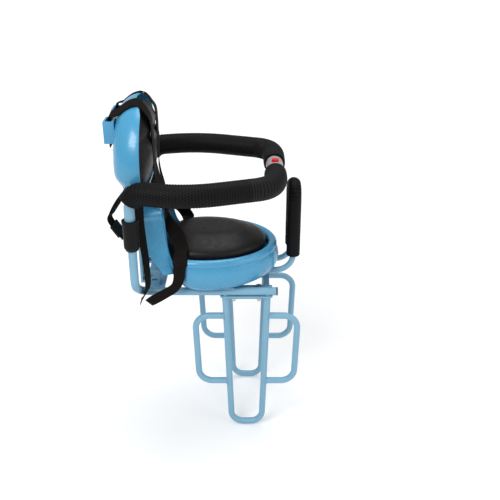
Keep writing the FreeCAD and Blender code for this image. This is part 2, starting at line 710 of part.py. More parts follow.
# Front cross strap on the base bars, which carries the seat and the handle.
cross = padded(
    "cross",
    "XY_Plane",
    [
        ("-Sizes.strap_bar_wide / 2", "-Sizes.bar_y - Sizes.bar_r"),
        ("Sizes.strap_bar_wide / 2", "-Sizes.bar_y - Sizes.bar_r"),
        ("Sizes.strap_bar_wide / 2", "Sizes.bar_y + Sizes.bar_r"),
        ("-Sizes.strap_bar_wide / 2", "Sizes.bar_y + Sizes.bar_r"),
    ],
    [("Sizes.hole_r", "0", "%s Sizes.boss_y" % s) for s in ("-", "")],
    "Sizes.strap_bar_thick",
)
keep(at(cross, "Sizes.cross_x", "0", "Sizes.bar_top_z"), "front_cross_strap")

# Handle: a narrow upright hoop with runs back under the seat, and a foam grip.
handle_path = bent_path(
    [
        (size("handle_tail_x"), -size("handle_half_y"), size("handle_z")),
        (size("handle_x"), -size("handle_half_y"), size("handle_z")),
        (size("handle_x"), -size("handle_half_y"), size("handle_top_z")),
        (size("handle_x"), size("handle_half_y"), size("handle_top_z")),
        (size("handle_x"), size("handle_half_y"), size("handle_z")),
        (size("handle_tail_x"), size("handle_half_y"), size("handle_z")),
    ],
    [size("handle_low_r"), size("handle_top_r"), size("handle_top_r"), size("handle_low_r")],
)
keep(plain("handle", rod(handle_path, size("handle_r"))), "handle_rod")
grip_path = bent_path(
    [
        (size("handle_x"), -size("handle_half_y"), size("grip_low_z")),
        (size("handle_x"), -size("handle_half_y"), size("handle_top_z")),
        (size("handle_x"), size("handle_half_y"), size("handle_top_z")),
        (size("handle_x"), size("handle_half_y"), size("grip_low_z")),
    ],
    [size("handle_top_r"), size("handle_top_r")],
)
grip_foam = rod(grip_path, size("grip_r")).cut(rod(grip_path, size("handle_r") + size("foam_gap")))
keep(plain("grip", grip_foam), "handle_grip")

# Rear bracket: a sheet between the bars with two upturned ears, each with a hole and a slot.
base_sheet = box(
    "bracket_base",
    "Sizes.bracket_front_x - Sizes.bracket_rear_x",
    "Sizes.bar_y * 2",
    "Sizes.bracket_thick",
    "Sizes.bracket_rear_x",
    "-Sizes.bar_y",
    "Sizes.bracket_z",
)
ears = []
ear_cuts = []
for i, s in enumerate(("-", "")):
    ear_y = "%s Sizes.ear_y - Sizes.bracket_thick / 2" % s
    ears.append(
        box(
            "ear%d" % i,
            "Sizes.ear_front_x - Sizes.bracket_rear_x",
            "Sizes.bracket_thick",
            "Sizes.ear_top_z - Sizes.bracket_z",
            "Sizes.bracket_rear_x",
            ear_y,
            "Sizes.bracket_z",
        )
    )
    hole_y = "%s Sizes.ear_y + Sizes.bracket_thick" % s
    hole = cylinder(
        "ear_hole%d" % i,
        "Sizes.ear_hole_r",
        "Sizes.bracket_thick * 2",
        "Sizes.ear_hole_x",
        hole_y,
        "Sizes.ear_hole_z",
    )
    ear_cuts.append(turned(hole, Vector(1, 0, 0), 90))
    for j, end in enumerate(("-", "+")):
        x = "Sizes.ear_slot_x %s (Sizes.ear_slot_len - Sizes.ear_slot_wide) / 2" % end
        hole = cylinder(
            "slot_end%d%d" % (i, j),
            "Sizes.ear_slot_wide / 2",
            "Sizes.bracket_thick * 2",
            x,
            hole_y,
            "Sizes.ear_slot_z",
        )
        ear_cuts.append(turned(hole, Vector(1, 0, 0), 90))
    ear_cuts.append(
        box(
            "slot_run%d" % i,
            "Sizes.ear_slot_len - Sizes.ear_slot_wide",
            "Sizes.bracket_thick * 2",
            "Sizes.ear_slot_wide",
            "Sizes.ear_slot_x - (Sizes.ear_slot_len - Sizes.ear_slot_wide) / 2",
            "%s Sizes.ear_y - Sizes.bracket_thick" % s,
            "Sizes.ear_slot_z - Sizes.ear_slot_wide / 2",
        )
    )
    ear_cuts.append(
        cylinder(
            "foot_hole%d" % i,
            "Sizes.hole_r",
            "Sizes.bracket_thick",
            "Sizes.foot_bolt_x",
            "%s Sizes.strut_y" % s,
            "Sizes.bracket_z",
        )
    )
bar_rooms = plain(
    "bar_rooms",
    Part.makeCompound([bar_room, bar_room.mirror(Vector(0, 0, 0), Vector(0, 1, 0))]),
)
bracket_sheet = cut(
    "bracket_sheet",
    fused("bracket_fused", [base_sheet] + ears),
    fused("bracket_cuts", ear_cuts),
)
keep(cut("bracket", bracket_sheet, bar_rooms), "rear_bracket")

# Back struts: flat steel bars with a foot on the bracket and a joggle back to the backrest.
strut_points = [
    ("Sizes.strut_foot_x", "Sizes.bracket_top_z"),
    ("Sizes.strut_foot_x", "Sizes.bracket_top_z + Sizes.strut_thick"),
    ("Sizes.strut_x", "Sizes.bracket_top_z + Sizes.strut_thick"),
    ("Sizes.strut_x", "Sizes.strut_knee_z"),
    ("Sizes.strut_dish_x", "Sizes.strut_knee_z + Sizes.strut_rise"),
    ("Sizes.strut_dish_x", "Sizes.strut_top_z"),
    ("Sizes.strut_dish_x - Sizes.strut_thick", "Sizes.strut_top_z"),
    (
        "Sizes.strut_dish_x - Sizes.strut_thick",
        "Sizes.strut_knee_z + Sizes.strut_rise + Sizes.strut_thick / 3",
    ),
    ("Sizes.strut_x - Sizes.strut_thick", "Sizes.strut_knee_z + Sizes.strut_thick / 3"),
    ("Sizes.strut_x - Sizes.strut_thick", "Sizes.bracket_top_z"),
]
strut_bars = []
strut_holes = []
strut_bolts = []
strut_nuts = []
back_bolt_z = ("Sizes.back_bolt_low_z", "Sizes.back_bolt_low_z + Sizes.back_bolt_dz")
for i, s in enumerate(("-", "")):
    y = "%s Sizes.strut_y" % s
    bar = padded("strut_bar%d" % i, "XZ_Plane", strut_points, [], "Sizes.strut_wide", True)
    strut_bars.append(at(bar, "0", y, "0"))
    # Level bolts: one through the seat's neck, two through the backrest.
    level = [("Sizes.strut_x", "Sizes.neck_rear_x + Sizes.shell_wall * 7", "Sizes.neck_bolt_z")]
    level += [("Sizes.strut_dish_x", "Sizes.dish_rear_x + Sizes.shell_wall", z) for z in back_bolt_z]
    for j, (face, inside, z) in enumerate(level):
        tag = "%d%d" % (i, j)
        hole = cylinder(
            "strut_hole" + tag,
            "Sizes.hole_r",
            "Sizes.strut_thick * 3",
            "%s - Sizes.strut_thick * 2" % face,
            y,
            z,
        )
        strut_holes.append(turned(hole, Vector(0, 1, 0), 90))
        back = "%s - Sizes.strut_thick" % face
        head = hexagon("strut_head" + tag, "Sizes.head_high / 2", "%s - Sizes.head_high / 2" % back, y, z)
        turned(head, Vector(0, 1, 0), 90)
        shank_long = "(%s) - (%s) + Sizes.nut_high + Sizes.bolt_tail / 4" % (inside, back)
        shank = cylinder("strut_shank" + tag, "Sizes.bolt_r", shank_long, back, y, z)
        turned(shank, Vector(0, 1, 0), 90)
        strut_bolts.append(fused("strut_bolt" + tag, [head, shank]))
        block = hexagon("strut_nut_block" + tag, "Sizes.nut_high", inside, y, z)
        turned(block, Vector(0, 1, 0), 90)
        hole = cylinder("strut_nut_hole" + tag, "Sizes.nut_hole_r", "Sizes.nut_high", inside, y, z)
        turned(hole, Vector(0, 1, 0), 90)
        strut_nuts.append(cut("strut_nut" + tag, block, hole))
    # Upright bolt through the strut's foot and the bracket.
    hole = cylinder(
        "strut_foot_hole%d" % i,
        "Sizes.hole_r",
        "Sizes.strut_thick",
        "Sizes.foot_bolt_x",
        y,
        "Sizes.bracket_top_z",
    )
    strut_holes.append(hole)
    foot_top = "Sizes.bracket_top_z + Sizes.strut_thick"
    foot_low = "Sizes.bracket_z - Sizes.nut_high"
    head = hexagon("foot_head%d" % i, "Sizes.head_high", "Sizes.foot_bolt_x", y, foot_top)
    shank = cylinder(
        "foot_shank%d" % i,
        "Sizes.bolt_r",
        "%s - (%s) + Sizes.bolt_tail / 4" % (foot_top, foot_low),
        "Sizes.foot_bolt_x",
        y,
        "%s - Sizes.bolt_tail / 4" % foot_low,
    )
    strut_bolts.append(fused("foot_bolt%d" % i, [head, shank]))
    block = hexagon("foot_nut_block%d" % i, "Sizes.nut_high", "Sizes.foot_bolt_x", y, foot_low)
    hole = cylinder(
        "foot_nut_hole%d" % i,
        "Sizes.nut_hole_r",
        "Sizes.nut_high",
        "Sizes.foot_bolt_x",
        y,
        foot_low,
    )
    strut_nuts.append(cut("foot_nut%d" % i, block, hole))
doc.recompute()
keep(cut("struts", group("strut_pair", strut_bars), fused("strut_drill", strut_holes)), "back_struts")
keep(group("strut_bolt_set", strut_bolts), "strut_bolts")
keep(group("strut_nut_set", strut_nuts), "strut_nuts")


# Seat shell: a moulded bucket with a skirt, a floor for the cushion and a tall rear neck with wings.
def seat_sections(inset):
    wires = []
    for part in ("foot", "belly", "rim", "neck", "neck_top"):
        z = size("skirt_z") if part == "foot" else size(part + "_z")
        if part in ("neck", "neck_top"):
            front_x = size("widest_x") + size("shell_wall") * 12
        else:
            front_x = size(part + "_front_x")
        rear_x = size(part + "_rear_x")
        wires.append(plan_outline(z, front_x - inset, rear_x + inset, size(part + "_half_w") - inset))
    return wires


outer = loft(seat_sections(0.0))
inner = loft(seat_sections(size("shell_wall")))
far_x = 400.0
far_y = 300.0
walls = outer.cut(inner)
floor_slab = Part.makeBox(
    2 * far_x,
    2 * far_y,
    size("shell_wall"),
    Vector(-far_x, -far_y, size("floor_z") - size("shell_wall")),
)
seat_floor = loft(seat_sections(size("shell_wall") / 2)).common(floor_slab)
bucket = walls.fuse(seat_floor)

# The rim is level in front and sweeps up along the wings behind the belt slots.
slot_rear_x = size("belt_slot_x") - size("belt_slot_wide") / 2
wing_edge = Part.BSplineCurve()
wing_edge.interpolate(
    [
        Vector(slot_rear_x, -far_y, size("rim_z")),
        Vector((slot_rear_x + size("wing_mid_x")) / 2, -far_y, (size("rim_z") * 3 + size("neck_z")) / 4),
        Vector(size("wing_mid_x"), -far_y, size("neck_z")),
        Vector(size("wing_top_x"), -far_y, size("neck_top_z") + size("shell_wall")),
    ]
)
above = Part.Wire(
    [
        Part.LineSegment(Vector(far_x, -far_y, size("rim_z")), Vector(slot_rear_x, -far_y, size("rim_z"))).toShape(
        ),
        wing_edge.toShape(),
        Part.LineSegment(
            Vector(size("wing_top_x"), -far_y, size("neck_top_z") + size("shell_wall")),
            Vector(far_x, -far_y, size("neck_top_z") + size("shell_wall")),
        ).toShape(),
        Part.LineSegment(
            Vector(far_x, -far_y, size("neck_top_z") + size("shell_wall")),
            Vector(far_x, -far_y, size("rim_z")),
        ).toShape(),
    ]
)
bucket = bucket.cut(Part.Face(above).extrude(Vector(0, 2 * far_y, 0)))

# A thick rolled lip finishes the rim as far back as the belt slots.
lip_z = size("rim_z") - 1
lip_path = plan_outline(
    lip_z,
    size("rim_front_x") - size("lip_in"),
    size("rim_rear_x") + size("lip_in"),
    size("rim_half_w") - size("lip_in"),
)
lip = rod(lip_path, size("lip_r"))
lip_end = Part.makeBox(far_x, 2 * far_y, far_x, Vector(slot_rear_x - far_x, -far_y, -far_x / 2))
bucket = bucket.fuse(lip.cut(lip_end))

# Underneath, the skirt clears the bars, rises to the nose and stops short at the heel.
nose_z = size("handle_z") + size("handle_r") + size("nose_gap")
under = prism(
    [
        (-far_x, -far_x),
        (-far_x, size("heel_z")),
        (size("heel_x"), size("heel_z")),
        (size("heel_x") + (size("heel_z") - size("skirt_z")) / 2, size("skirt_z") - 1),
        (size("cross_x") - size("strap_bar_wide"), size("skirt_z") - 1),
        (size("cross_x") - size("strap_bar_wide") / 2, size("strap_top_z") + size("skirt_gap")),
        (size("foot_front_x"), nose_z),
        (far_x, nose_z),
        (far_x, -far_x),
    ],
    -far_y,
    far_y,
)
bucket = bucket.cut(under)

# A slot in each side lets the lap belt through, and a window lightens the neck.
slot_r = size("belt_slot_low_r")
slot_end_z = size("belt_slot_low_z") + slot_r
slot_front_x = size("belt_slot_x") + size("belt_slot_wide") / 2
for low_y, high_y in ((size("belt_slot_y"), far_y), (-far_y, -size("belt_slot_y"))):
    run = prism(
        [
            (size("belt_slot_low_x") - slot_r, slot_end_z),
            (size("belt_slot_low_x") + slot_r, slot_end_z),
            (slot_front_x, size("rim_z")),
            (slot_front_x, size("neck_z")),
            (slot_rear_x, size("neck_z")),
            (slot_rear_x, size("rim_z")),
        ],
        low_y,
        high_y,
    )
    end_at = Vector(size("belt_slot_low_x"), low_y, slot_end_z)
    end = Part.makeCylinder(slot_r, high_y - low_y, end_at, Vector(0, 1, 0))
    bucket = bucket.cut(run.fuse(end))
window_r = size("window_half_y") * 0.6
window = Part.makeBox(
    size("shell_wall") * 20,
    size("window_half_y") * 2,
    size("window_high_z") - size("window_low_z"),
    Vector(size("neck_top_rear_x") - size("shell_wall") * 10, -size("window_half_y"), size("window_low_z")),
)
window = window.makeFillet(
    window_r,
    [e for e in window.Edges if abs(e.tangentAt(e.FirstParameter).x) > 0.9],
)
bucket = bucket.cut(window)

# Bosses take the seat bolts in front and the strut bolts at the neck; ribs stiffen the floor.
under_floor = size("floor_z") - size("shell_wall") / 2
extras = []
drills = []
for s in (-1, 1):
    boss_at = Vector(size("cross_x"), s * size("boss_y"), size("strap_top_z"))
    extras.append(Part.makeCylinder(size("boss_r"), under_floor - size("strap_top_z"), boss_at))
    drills.append(Part.makeCylinder(size("nut_hole_r"), size("boss_bolt_depth"), boss_at))
    neck_at = Vector(size("strut_x") + 0.1, s * size("strut_y"), size("neck_bolt_z"))
    neck_long = size("neck_rear_x") + size("shell_wall") * 7 - size("strut_x") - 0.1
    extras.append(Part.makeCylinder(size("neck_boss_r"), neck_long, neck_at, Vector(1, 0, 0)))
    drills.append(
        Part.makeCylinder(size("hole_r"), neck_long + 20, neck_at - Vector(10, 0, 0), Vector(1, 0, 0)),
    )
for x in (size("widest_x"), (size("widest_x") + size("heel_x")) / 2):
    extras.append(
        Part.makeBox(
            size("rib_thick"),
            size("rib_half_y") * 2,
            size("rib_deep"),
            Vector(x - size("rib_thick") / 2, -size("rib_half_y"), under_floor - size("rib_deep")),
        )
    )
for extra in extras:
    bucket = bucket.fuse(extra)
for drill in drills:
    bucket = bucket.cut(drill)
bucket = max(bucket.Solids, key=lambda s: s.Volume)
keep(plain("bucket", bucket), "seat_shell")

seat_bolts = []
for i, s in enumerate(("-", "")):
    y = "%s Sizes.boss_y" % s
    head = hexagon(
        "seat_head%d" % i,
        "Sizes.head_high",
        "Sizes.cross_x",
        y,
        "Sizes.bar_top_z - Sizes.head_high",
    )
    shank = cylinder(
        "seat_shank%d" % i,
        "Sizes.bolt_r",
        "Sizes.strap_bar_thick + Sizes.boss_bolt_depth - 2",
        "Sizes.cross_x",
        y,
        "Sizes.bar_top_z",
    )
    seat_bolts.append(fused("seat_bolt%d" % i, [head, shank]))
keep(group("seat_bolt_set", seat_bolts), "seat_bolts")

# Seat cushion: a crowned pad that lies in the bucket.
pad_z = size("floor_z") + size("pad_gap")
pad_rise = size("seat_pad_top_z") - pad_z
pad_rows = [(0.0, 4.0), (0.3, 0.0), (0.48, 0.0), (0.7, 10.0), (0.89, 32.0), (1.0, 62.0)]
seat_pad = loft(
    [
        plan_outline(
            pad_z + pad_rise * share,
            size("seat_pad_front_x") - inset,
            size("seat_pad_rear_x") + inset * 0.5,
            size("seat_pad_half_w") - inset,
        )
        for share, inset in pad_rows
    ]
)
keep(plain("seat_pad", seat_pad), "seat_cushion")

# Back shell: an upright dish with a belt guide on each side of its back.
dish_deep = size("dish_rim_x") - size("dish_rear_x")
guide_high_z = size("dish_top_z") - size("guide_drop")
guide_low_z = guide_high_z - size("guide_long")
dish_rows = [(0.0, 34.0), (0.125, 19.0), (0.42, 6.0), (1.0, 0.0)]


def dish_sections(inset, past):
    wires = []
    for share, curl in dish_rows:
        shift = past if share == 1.0 else inset * (1 - share)
        wires.append(
            front_outline(
                size("dish_rear_x") + dish_deep * share + shift,
                size("dish_top_z") - curl - inset,
                size("dish_low_z") + curl + inset,
                size("dish_half_w") - curl - inset,
            )
        )
    return wires


dish = loft(dish_sections(0.0, 0.0)).cut(loft(dish_sections(size("shell_wall"), 1.0)))
top_r = dish_deep * 0.55
brow = Part.makeBox(
    top_r * 2,
    2 * far_y,
    top_r * 2,
    Vector(size("dish_rim_x") - top_r, -far_y, size("dish_top_z") - top_r),
)
brow_round = Part.makeCylinder(
    top_r,
    2 * far_y,
    Vector(size("dish_rim_x") - top_r, -far_y, size("dish_top_z") - top_r),
    Vector(0, 1, 0),
)
dish = dish.cut(brow.cut(brow_round))
for s in (-1, 1):
    guide = Part.makeBox(
        size("guide_deep") + size("shell_wall") / 2,
        size("guide_wide"),
        size("guide_long"),
        Vector(
            size("dish_rear_x") - size("guide_deep"),
            s * size("guide_y") - size("guide_wide") / 2,
            guide_low_z,
        ),
    )
    gap = Part.makeBox(
        size("guide_deep") - 2 * size("guide_wall"),
        size("guide_wide") - 2 * size("guide_wall"),
        far_y,
        Vector(
            size("dish_rear_x") - size("guide_deep") + size("guide_wall"),
            s * size("guide_y") - size("guide_wide") / 2 + size("guide_wall"),
            guide_low_z - far_y / 2,
        ),
    )
    dish = dish.fuse(guide.cut(gap))
    for k in (0, 1):
        hole_at = Vector(
            size("dish_rear_x") - 1,
            s * size("strut_y"),
            size("back_bolt_low_z") + k * size("back_bolt_dz"),
        )
        dish = dish.cut(Part.makeCylinder(size("hole_r"), size("shell_wall") * 3, hole_at, Vector(1, 0, 0)))
dish = max(dish.removeSplitter().Solids, key=lambda s: s.Volume)
keep(plain("dish", dish), "back_shell")

# Back cushion: a rounded pad that fills the dish and stands a little proud of its rim.
nut_room = size("nut_high") + size("bolt_tail") / 4 + size("pad_gap")
back_rear_x = size("dish_rear_x") + size("shell_wall") + nut_room
back_deep = size("back_pad_x") - back_rear_x
back_top_z = size("dish_top_z") - size("back_pad_rim")
back_low_z = size("dish_low_z") + size("back_pad_rim")
back_half_w = size("dish_half_w") - size("back_pad_side")
back_rows = [(0.0, 30.0), (0.3, 9.0), (0.74, 0.0), (0.93, 12.0), (1.0, 34.0)]
back_pad = loft(
    [
        front_outline(
            back_rear_x + back_deep * share,
            back_top_z - inset,
            back_low_z + inset,
            back_half_w - inset,
        )
        for share, inset in back_rows
    ]
)
keep(plain("back_pad", back_pad), "back_cushion")

# Pivot sleeves: moulded collars on the posts, each with a socket for its arm's lower end.
sleeve = revolved(
    "sleeve",
    [
        ("Sizes.bar_r + Sizes.sleeve_fit", "Sizes.sleeve_low_z"),
        ("Sizes.sleeve_foot_r", "Sizes.sleeve_low_z"),
        ("Sizes.sleeve_r", "Sizes.sleeve_low_z + Sizes.sleeve_taper"),
        ("Sizes.sleeve_r", "Sizes.sleeve_top_z - Sizes.sleeve_lip_high"),
        ("Sizes.sleeve_r + Sizes.sleeve_lip", "Sizes.sleeve_top_z - Sizes.sleeve_lip_high"),
        ("Sizes.sleeve_r + Sizes.sleeve_lip", "Sizes.sleeve_top_z"),
        ("Sizes.arm_r + Sizes.arm_free", "Sizes.sleeve_top_z"),
        ("Sizes.arm_r + Sizes.arm_free", "Sizes.sleeve_top_z - Sizes.socket_deep"),
        ("Sizes.bar_r + Sizes.sleeve_fit", "Sizes.sleeve_top_z - Sizes.socket_deep"),
    ],
)
at(sleeve, "Sizes.post_x", "-Sizes.post_y", "0")
keep(sleeve, "right_pivot_sleeve")
keep(mirrored("sleeve_left", sleeve), "left_pivot_sleeve")

# Gate arms: a tube turned down over each post, padded with foam, meeting at a latch in front.
def gate_arm(end_y):
    """The tube and foam of an arm that ends at a distance from the middle."""
    path = bent_path(
        [
            (size("post_x"), -size("post_y"), size("arm_low_z")),
            (size("post_x"), -size("post_y"), size("arm_z")),
            (size("arm_side_x"), -size("arm_side_y"), size("arm_z")),
            (size("arm_corner_x"), -size("arm_corner_y"), size("arm_z")),
            (size("arm_front_x"), -size("arm_front_y"), size("arm_z")),
            (size("arm_front_x"), -end_y, size("arm_z")),
        ],
        [size("arm_bend_r"), size("arm_side_r"), size("arm_corner_r"), size("arm_front_r")],
    )
    post_bore = Part.makeCylinder(
        size("bar_r") + size("arm_run"),
        size("post_top_z") + size("arm_bore_over") - size("arm_low_z"),
        Vector(size("post_x"), -size("post_y"), size("arm_low_z")),
    )
    end_bore = Part.makeCylinder(
        size("arm_r") - size("arm_wall"),
        size("spigot_len") + 2,
        Vector(size("arm_front_x"), -end_y, size("arm_z")),
        Vector(0, -1, 0),
    )
    tube = rod(path, size("arm_r")).cut(post_bore).cut(end_bore)
    padding_path = part_of(path, size("foam_low_z") - size("arm_low_z"), path.Length - size("foam_end_gap"))
    padding = rod(padding_path, size("foam_r")).cut(rod(padding_path, size("arm_r") + size("foam_gap")))
    return tube, padding


tube, padding = gate_arm(size("latch_right"))
keep(plain("arm_tube", tube), "right_arm_tube")
keep(plain("arm_foam", padding), "right_arm_foam")
tube, padding = gate_arm(size("latch_left"))
keep(mirrored("arm_tube_left", plain("arm_tube_short", tube)), "left_arm_tube")
keep(mirrored("arm_foam_left", plain("arm_foam_short", padding)), "left_arm_foam")


# Latch: a slotted housing on the right arm takes a flat tongue on the left arm.
def along_y(obj, y):
    """Lay an upright cylinder along +Y on the latch's axis."""
    turned(obj, Vector(1, 0, 0), -90)
    return at(obj, "Sizes.arm_front_x", y, "Sizes.arm_z")


spigot_r = "Sizes.arm_r - Sizes.arm_wall - Sizes.spigot_gap"
drum_long = "Sizes.latch_right - Sizes.latch_gap"
drum = along_y(cylinder("housing_drum", "Sizes.latch_r", drum_long, "0", "0", "0"), "-Sizes.latch_right")
peg_y = "-Sizes.latch_right - Sizes.spigot_len"
peg = along_y(cylinder("housing_peg", spigot_r, "Sizes.spigot_len", "0", "0", "0"), peg_y)
slot = box(
    "tongue_slot",
    "Sizes.latch_r * 3",
    "Sizes.tongue_long + Sizes.tongue_gap * 2 + Sizes.latch_gap",
    "Sizes.slot_half_z * 2",
    "Sizes.arm_front_x - Sizes.latch_r * 1.5",
    "-Sizes.tongue_long - Sizes.tongue_gap * 2",
    "Sizes.arm_z - Sizes.slot_half_z",
)
well = cylinder(
    "button_well",
    "Sizes.button_r + Sizes.button_gap",
    "Sizes.button_sink + Sizes.latch_r",
    "Sizes.arm_front_x",
    "Sizes.button_y",
    "Sizes.well_floor_z",
)
stem_hole = cylinder(
    "stem_hole",
    "Sizes.stem_r + Sizes.button_gap",
    "Sizes.latch_r",
    "Sizes.arm_front_x",
    "Sizes.button_y",
    "Sizes.arm_z",
)
housing = cut(
    "housing",
    fused("housing_blank", [drum, peg]),
    fused("housing_cuts", [slot, well, stem_hole]),
)
keep(housing, "latch_housing")

drum_long = "Sizes.latch_left - Sizes.latch_gap"
drum = along_y(cylinder("tongue_drum", "Sizes.latch_r", drum_long, "0", "0", "0"), "Sizes.latch_gap")
peg = along_y(cylinder("tongue_peg", spigot_r, "Sizes.spigot_len", "0", "0", "0"), "Sizes.latch_left")
blade = box(
    "tongue_blade",
    "Sizes.tongue_half_x * 2",
    "Sizes.tongue_long + Sizes.latch_gap * 2",
    "Sizes.tongue_thick",
    "Sizes.arm_front_x - Sizes.tongue_half_x",
    "-Sizes.tongue_long",
    "Sizes.arm_z - Sizes.tongue_thick / 2",
)
keep(fused("tongue", [drum, peg, blade]), "latch_tongue")

# Release button: a cap with a stem that reaches down over the tongue, on a coil spring.
cap_low = "Sizes.arm_z + Sizes.latch_r + Sizes.button_proud - Sizes.button_high"
cap = cylinder(
    "button_cap",
    "Sizes.button_r",
    "Sizes.button_high",
    "Sizes.arm_front_x",
    "Sizes.button_y",
    cap_low,
)
stem_low = "Sizes.arm_z + Sizes.tongue_thick / 2 + Sizes.button_travel + Sizes.tongue_gap * 2"
stem = cylinder(
    "button_stem",
    "Sizes.stem_r",
    "%s - (%s)" % (cap_low, stem_low),
    "Sizes.arm_front_x",
    "Sizes.button_y",
    stem_low,
)
keep(fused("button", [cap, stem]), "release_button")
spring_low = size("well_floor_z") + size("spring_wire_r") + 0.05
cap_z = size("arm_z") + size("latch_r") + size("button_proud") - size("button_high")
spring_high = cap_z - size("spring_wire_r") - 0.05
spring_long = spring_high - spring_low
helix = Part.makeHelix(spring_long / size("spring_turns"), spring_long, size("spring_r"))
ring = Part.Wire(
    [Part.Circle(Vector(size("spring_r"), 0, 0), Vector(0, 1, 0), size("spring_wire_r")).toShape()],
)
coil = Part.Solid(Part.Wire(helix.Edges).makePipeShell([ring], True, True))
coil.translate(Vector(size("arm_front_x"), size("button_y"), spring_low))
keep(plain("spring", coil if coil.Volume > 0 else coil.reversed()), "button_spring")

# Harness webbing lies on the surfaces under it, which these three readings find.
def top_of(shapes, x, y):
    """The highest point of some solids on an upright line."""
    line = Part.makeLine((x, y, -far_x), (x, y, far_x))
    return max(shape.common(line).BoundBox.ZMax for shape in shapes if shape.common(line).Edges)


def underside_of(shape, x, y):
    """The lowest point of a solid on an upright line."""
    return shape.common(Part.makeLine((x, y, -far_x), (x, y, far_x))).BoundBox.ZMin


def front_of(shape, y, z):
    """The foremost point of a solid on a line along the bike."""
    return shape.common(Part.makeLine((-far_x, y, z), (far_x, y, z))).BoundBox.XMax


def side_of(shape, x, z):
    """The right-hand face of a solid on a line across the bike."""
    return shape.common(Part.makeLine((x, -far_y, z), (x, 0, z))).BoundBox.YMin


# Shoulder belts come out of the guides, cross the top of the backrest and hang to the buckle.
lift = size("belt_thick") / 2 + size("pad_gap") * 2
guide_x = size("dish_rear_x") - size("guide_deep") / 2
front_x = size("back_pad_x") + lift
shoulder_y = -size("guide_y")
lean = (0, 1, 0.36)
level = (0, 1, 0)
buckle_x = front_x + 16
buckle_z = size("buckle_z")
buckle_top_z = buckle_z + size("buckle_len") / 2
back_solids = [dish, back_pad]
stations = [
    ((guide_x, shoulder_y, guide_low_z - 8), level, 1),
    ((guide_x, shoulder_y, guide_high_z + 2), level, 1),
    ((size("dish_rear_x") - 2, shoulder_y, guide_high_z + 9), lean, 1),
]
reach = size("belt_wide") / 2
crossing = [(0.16, 0.36), (0.3, 0.36), (0.43, 0.36), (0.56, 0.36), (0.68, 0.34), (0.8, 0.3)]
crossing += [(0.9, 0.25), (0.98, 0.22), (1.06, 0.24), (1.12, 0.24)]
for i, (share, slope) in enumerate(crossing):
    x = size("dish_rear_x") + dish_deep * share
    y = shoulder_y + 0.3 * (i + 1)
    z = max(top_of(back_solids, x, y + k * reach) - slope * k * reach for k in (-1, -0.5, 0, 0.5, 1))
    stations.append(((x, y, z + lift + 0.5), (0, 1, slope), 1))
for drop, y, across in ((24, 36.5, (0, 1, 0.12)), (34, 36, level), (46, 35, level), (64, 34, level)):
    z = back_top_z - drop
    x = max(front_of(back_pad, -y + k * reach, z) for k in (-1, 0, 1))
    stations.append(((x + lift + 0.8, -y, z), across, 1))
stations += [
    ((front_x + 1.5, -33, size("dish_mid_z") + 8), level, 1),
    ((front_x + 5, -26, back_low_z + 10), level, 1),
    ((buckle_x, -13.2, buckle_top_z + 1.8), level, 1),
]
right_shoulder = plain("shoulder", ribbon(stations))
keep(right_shoulder, "right_shoulder_belt")
keep(mirrored("shoulder_left", right_shoulder), "left_shoulder_belt")

buckle_box = Part.makeBox(
    size("buckle_thick"),
    size("buckle_wide"),
    size("buckle_len"),
    Vector(
        buckle_x - size("buckle_thick") / 2,
        -size("buckle_wide") / 2,
        buckle_z - size("buckle_len") / 2,
    ),
)
buckle_box = buckle_box.makeFillet(size("buckle_thick") * 0.3, buckle_box.Edges)
keep(plain("buckle", buckle_box), "harness_buckle")

# Each lap belt runs from the buckle over the cushion, out through the notch and down behind the heel,
# where its end hangs beside a tail that comes down from the underside of the backrest.
slot_x = size("belt_slot_x")
rim_y = side_of(outer, slot_x + reach, size("rim_z"))
lip_top_z = lip_z + size("lip_r")
tail_y = side_of(outer, slot_x + reach, size("belly_z")) - lift - 1
heel_x = size("belly_rear_x")
tail_x = size("post_x") + 3
tail_z = size("bar_z")
end_y = -size("strut_y") - size("strut_wide") - 5
end_x = size("dish_rim_x") - 16
end_z = min(underside_of(dish, x, end_y) for x in (end_x - 11, end_x, end_x + 11)) - 0.3
lap = ribbon(
    [
        ((buckle_x, -size("buckle_wide") / 2 - 6.4, buckle_z - 4), (0, 0, 1), 1),
        ((buckle_x + 5, -46, buckle_z - 15), (0.5, 0.3, 1), 1),
        ((buckle_x + 20, -60, buckle_z - 30), (0.9, 0.3, 0.6), 1),
        ((slot_x + 1, -73, lip_top_z + 16), (1, 0.2, 0.3), 1),
        ((slot_x, rim_y + 9, lip_top_z + 5), (1, 0, 0.1), 0.95),
        ((slot_x, rim_y - 2.5, size("rim_z") + 1), (1, 0, 0), 0.9),
        ((slot_x - 1, tail_y, size("rim_z") - 12), (1, 0, 0), 0.85),
        ((slot_x - 2, tail_y, size("belly_z") + 4), (1, 0, 0), 0.8),
        ((slot_x - 10, tail_y, size("belt_slot_low_z") - 10), (0.8, 0, -0.6), 0.7),
        ((heel_x + 2, tail_y, tail_z + 7), (0.5, 0.2, -1), 0.8),
        ((tail_x + 24, tail_y, tail_z - 4), (0.4, 0.3, -1), 0.85),
        ((tail_x + 15, tail_y, tail_z - 10), (0.3, 0.4, -0.8), 0.85),
    ]
)
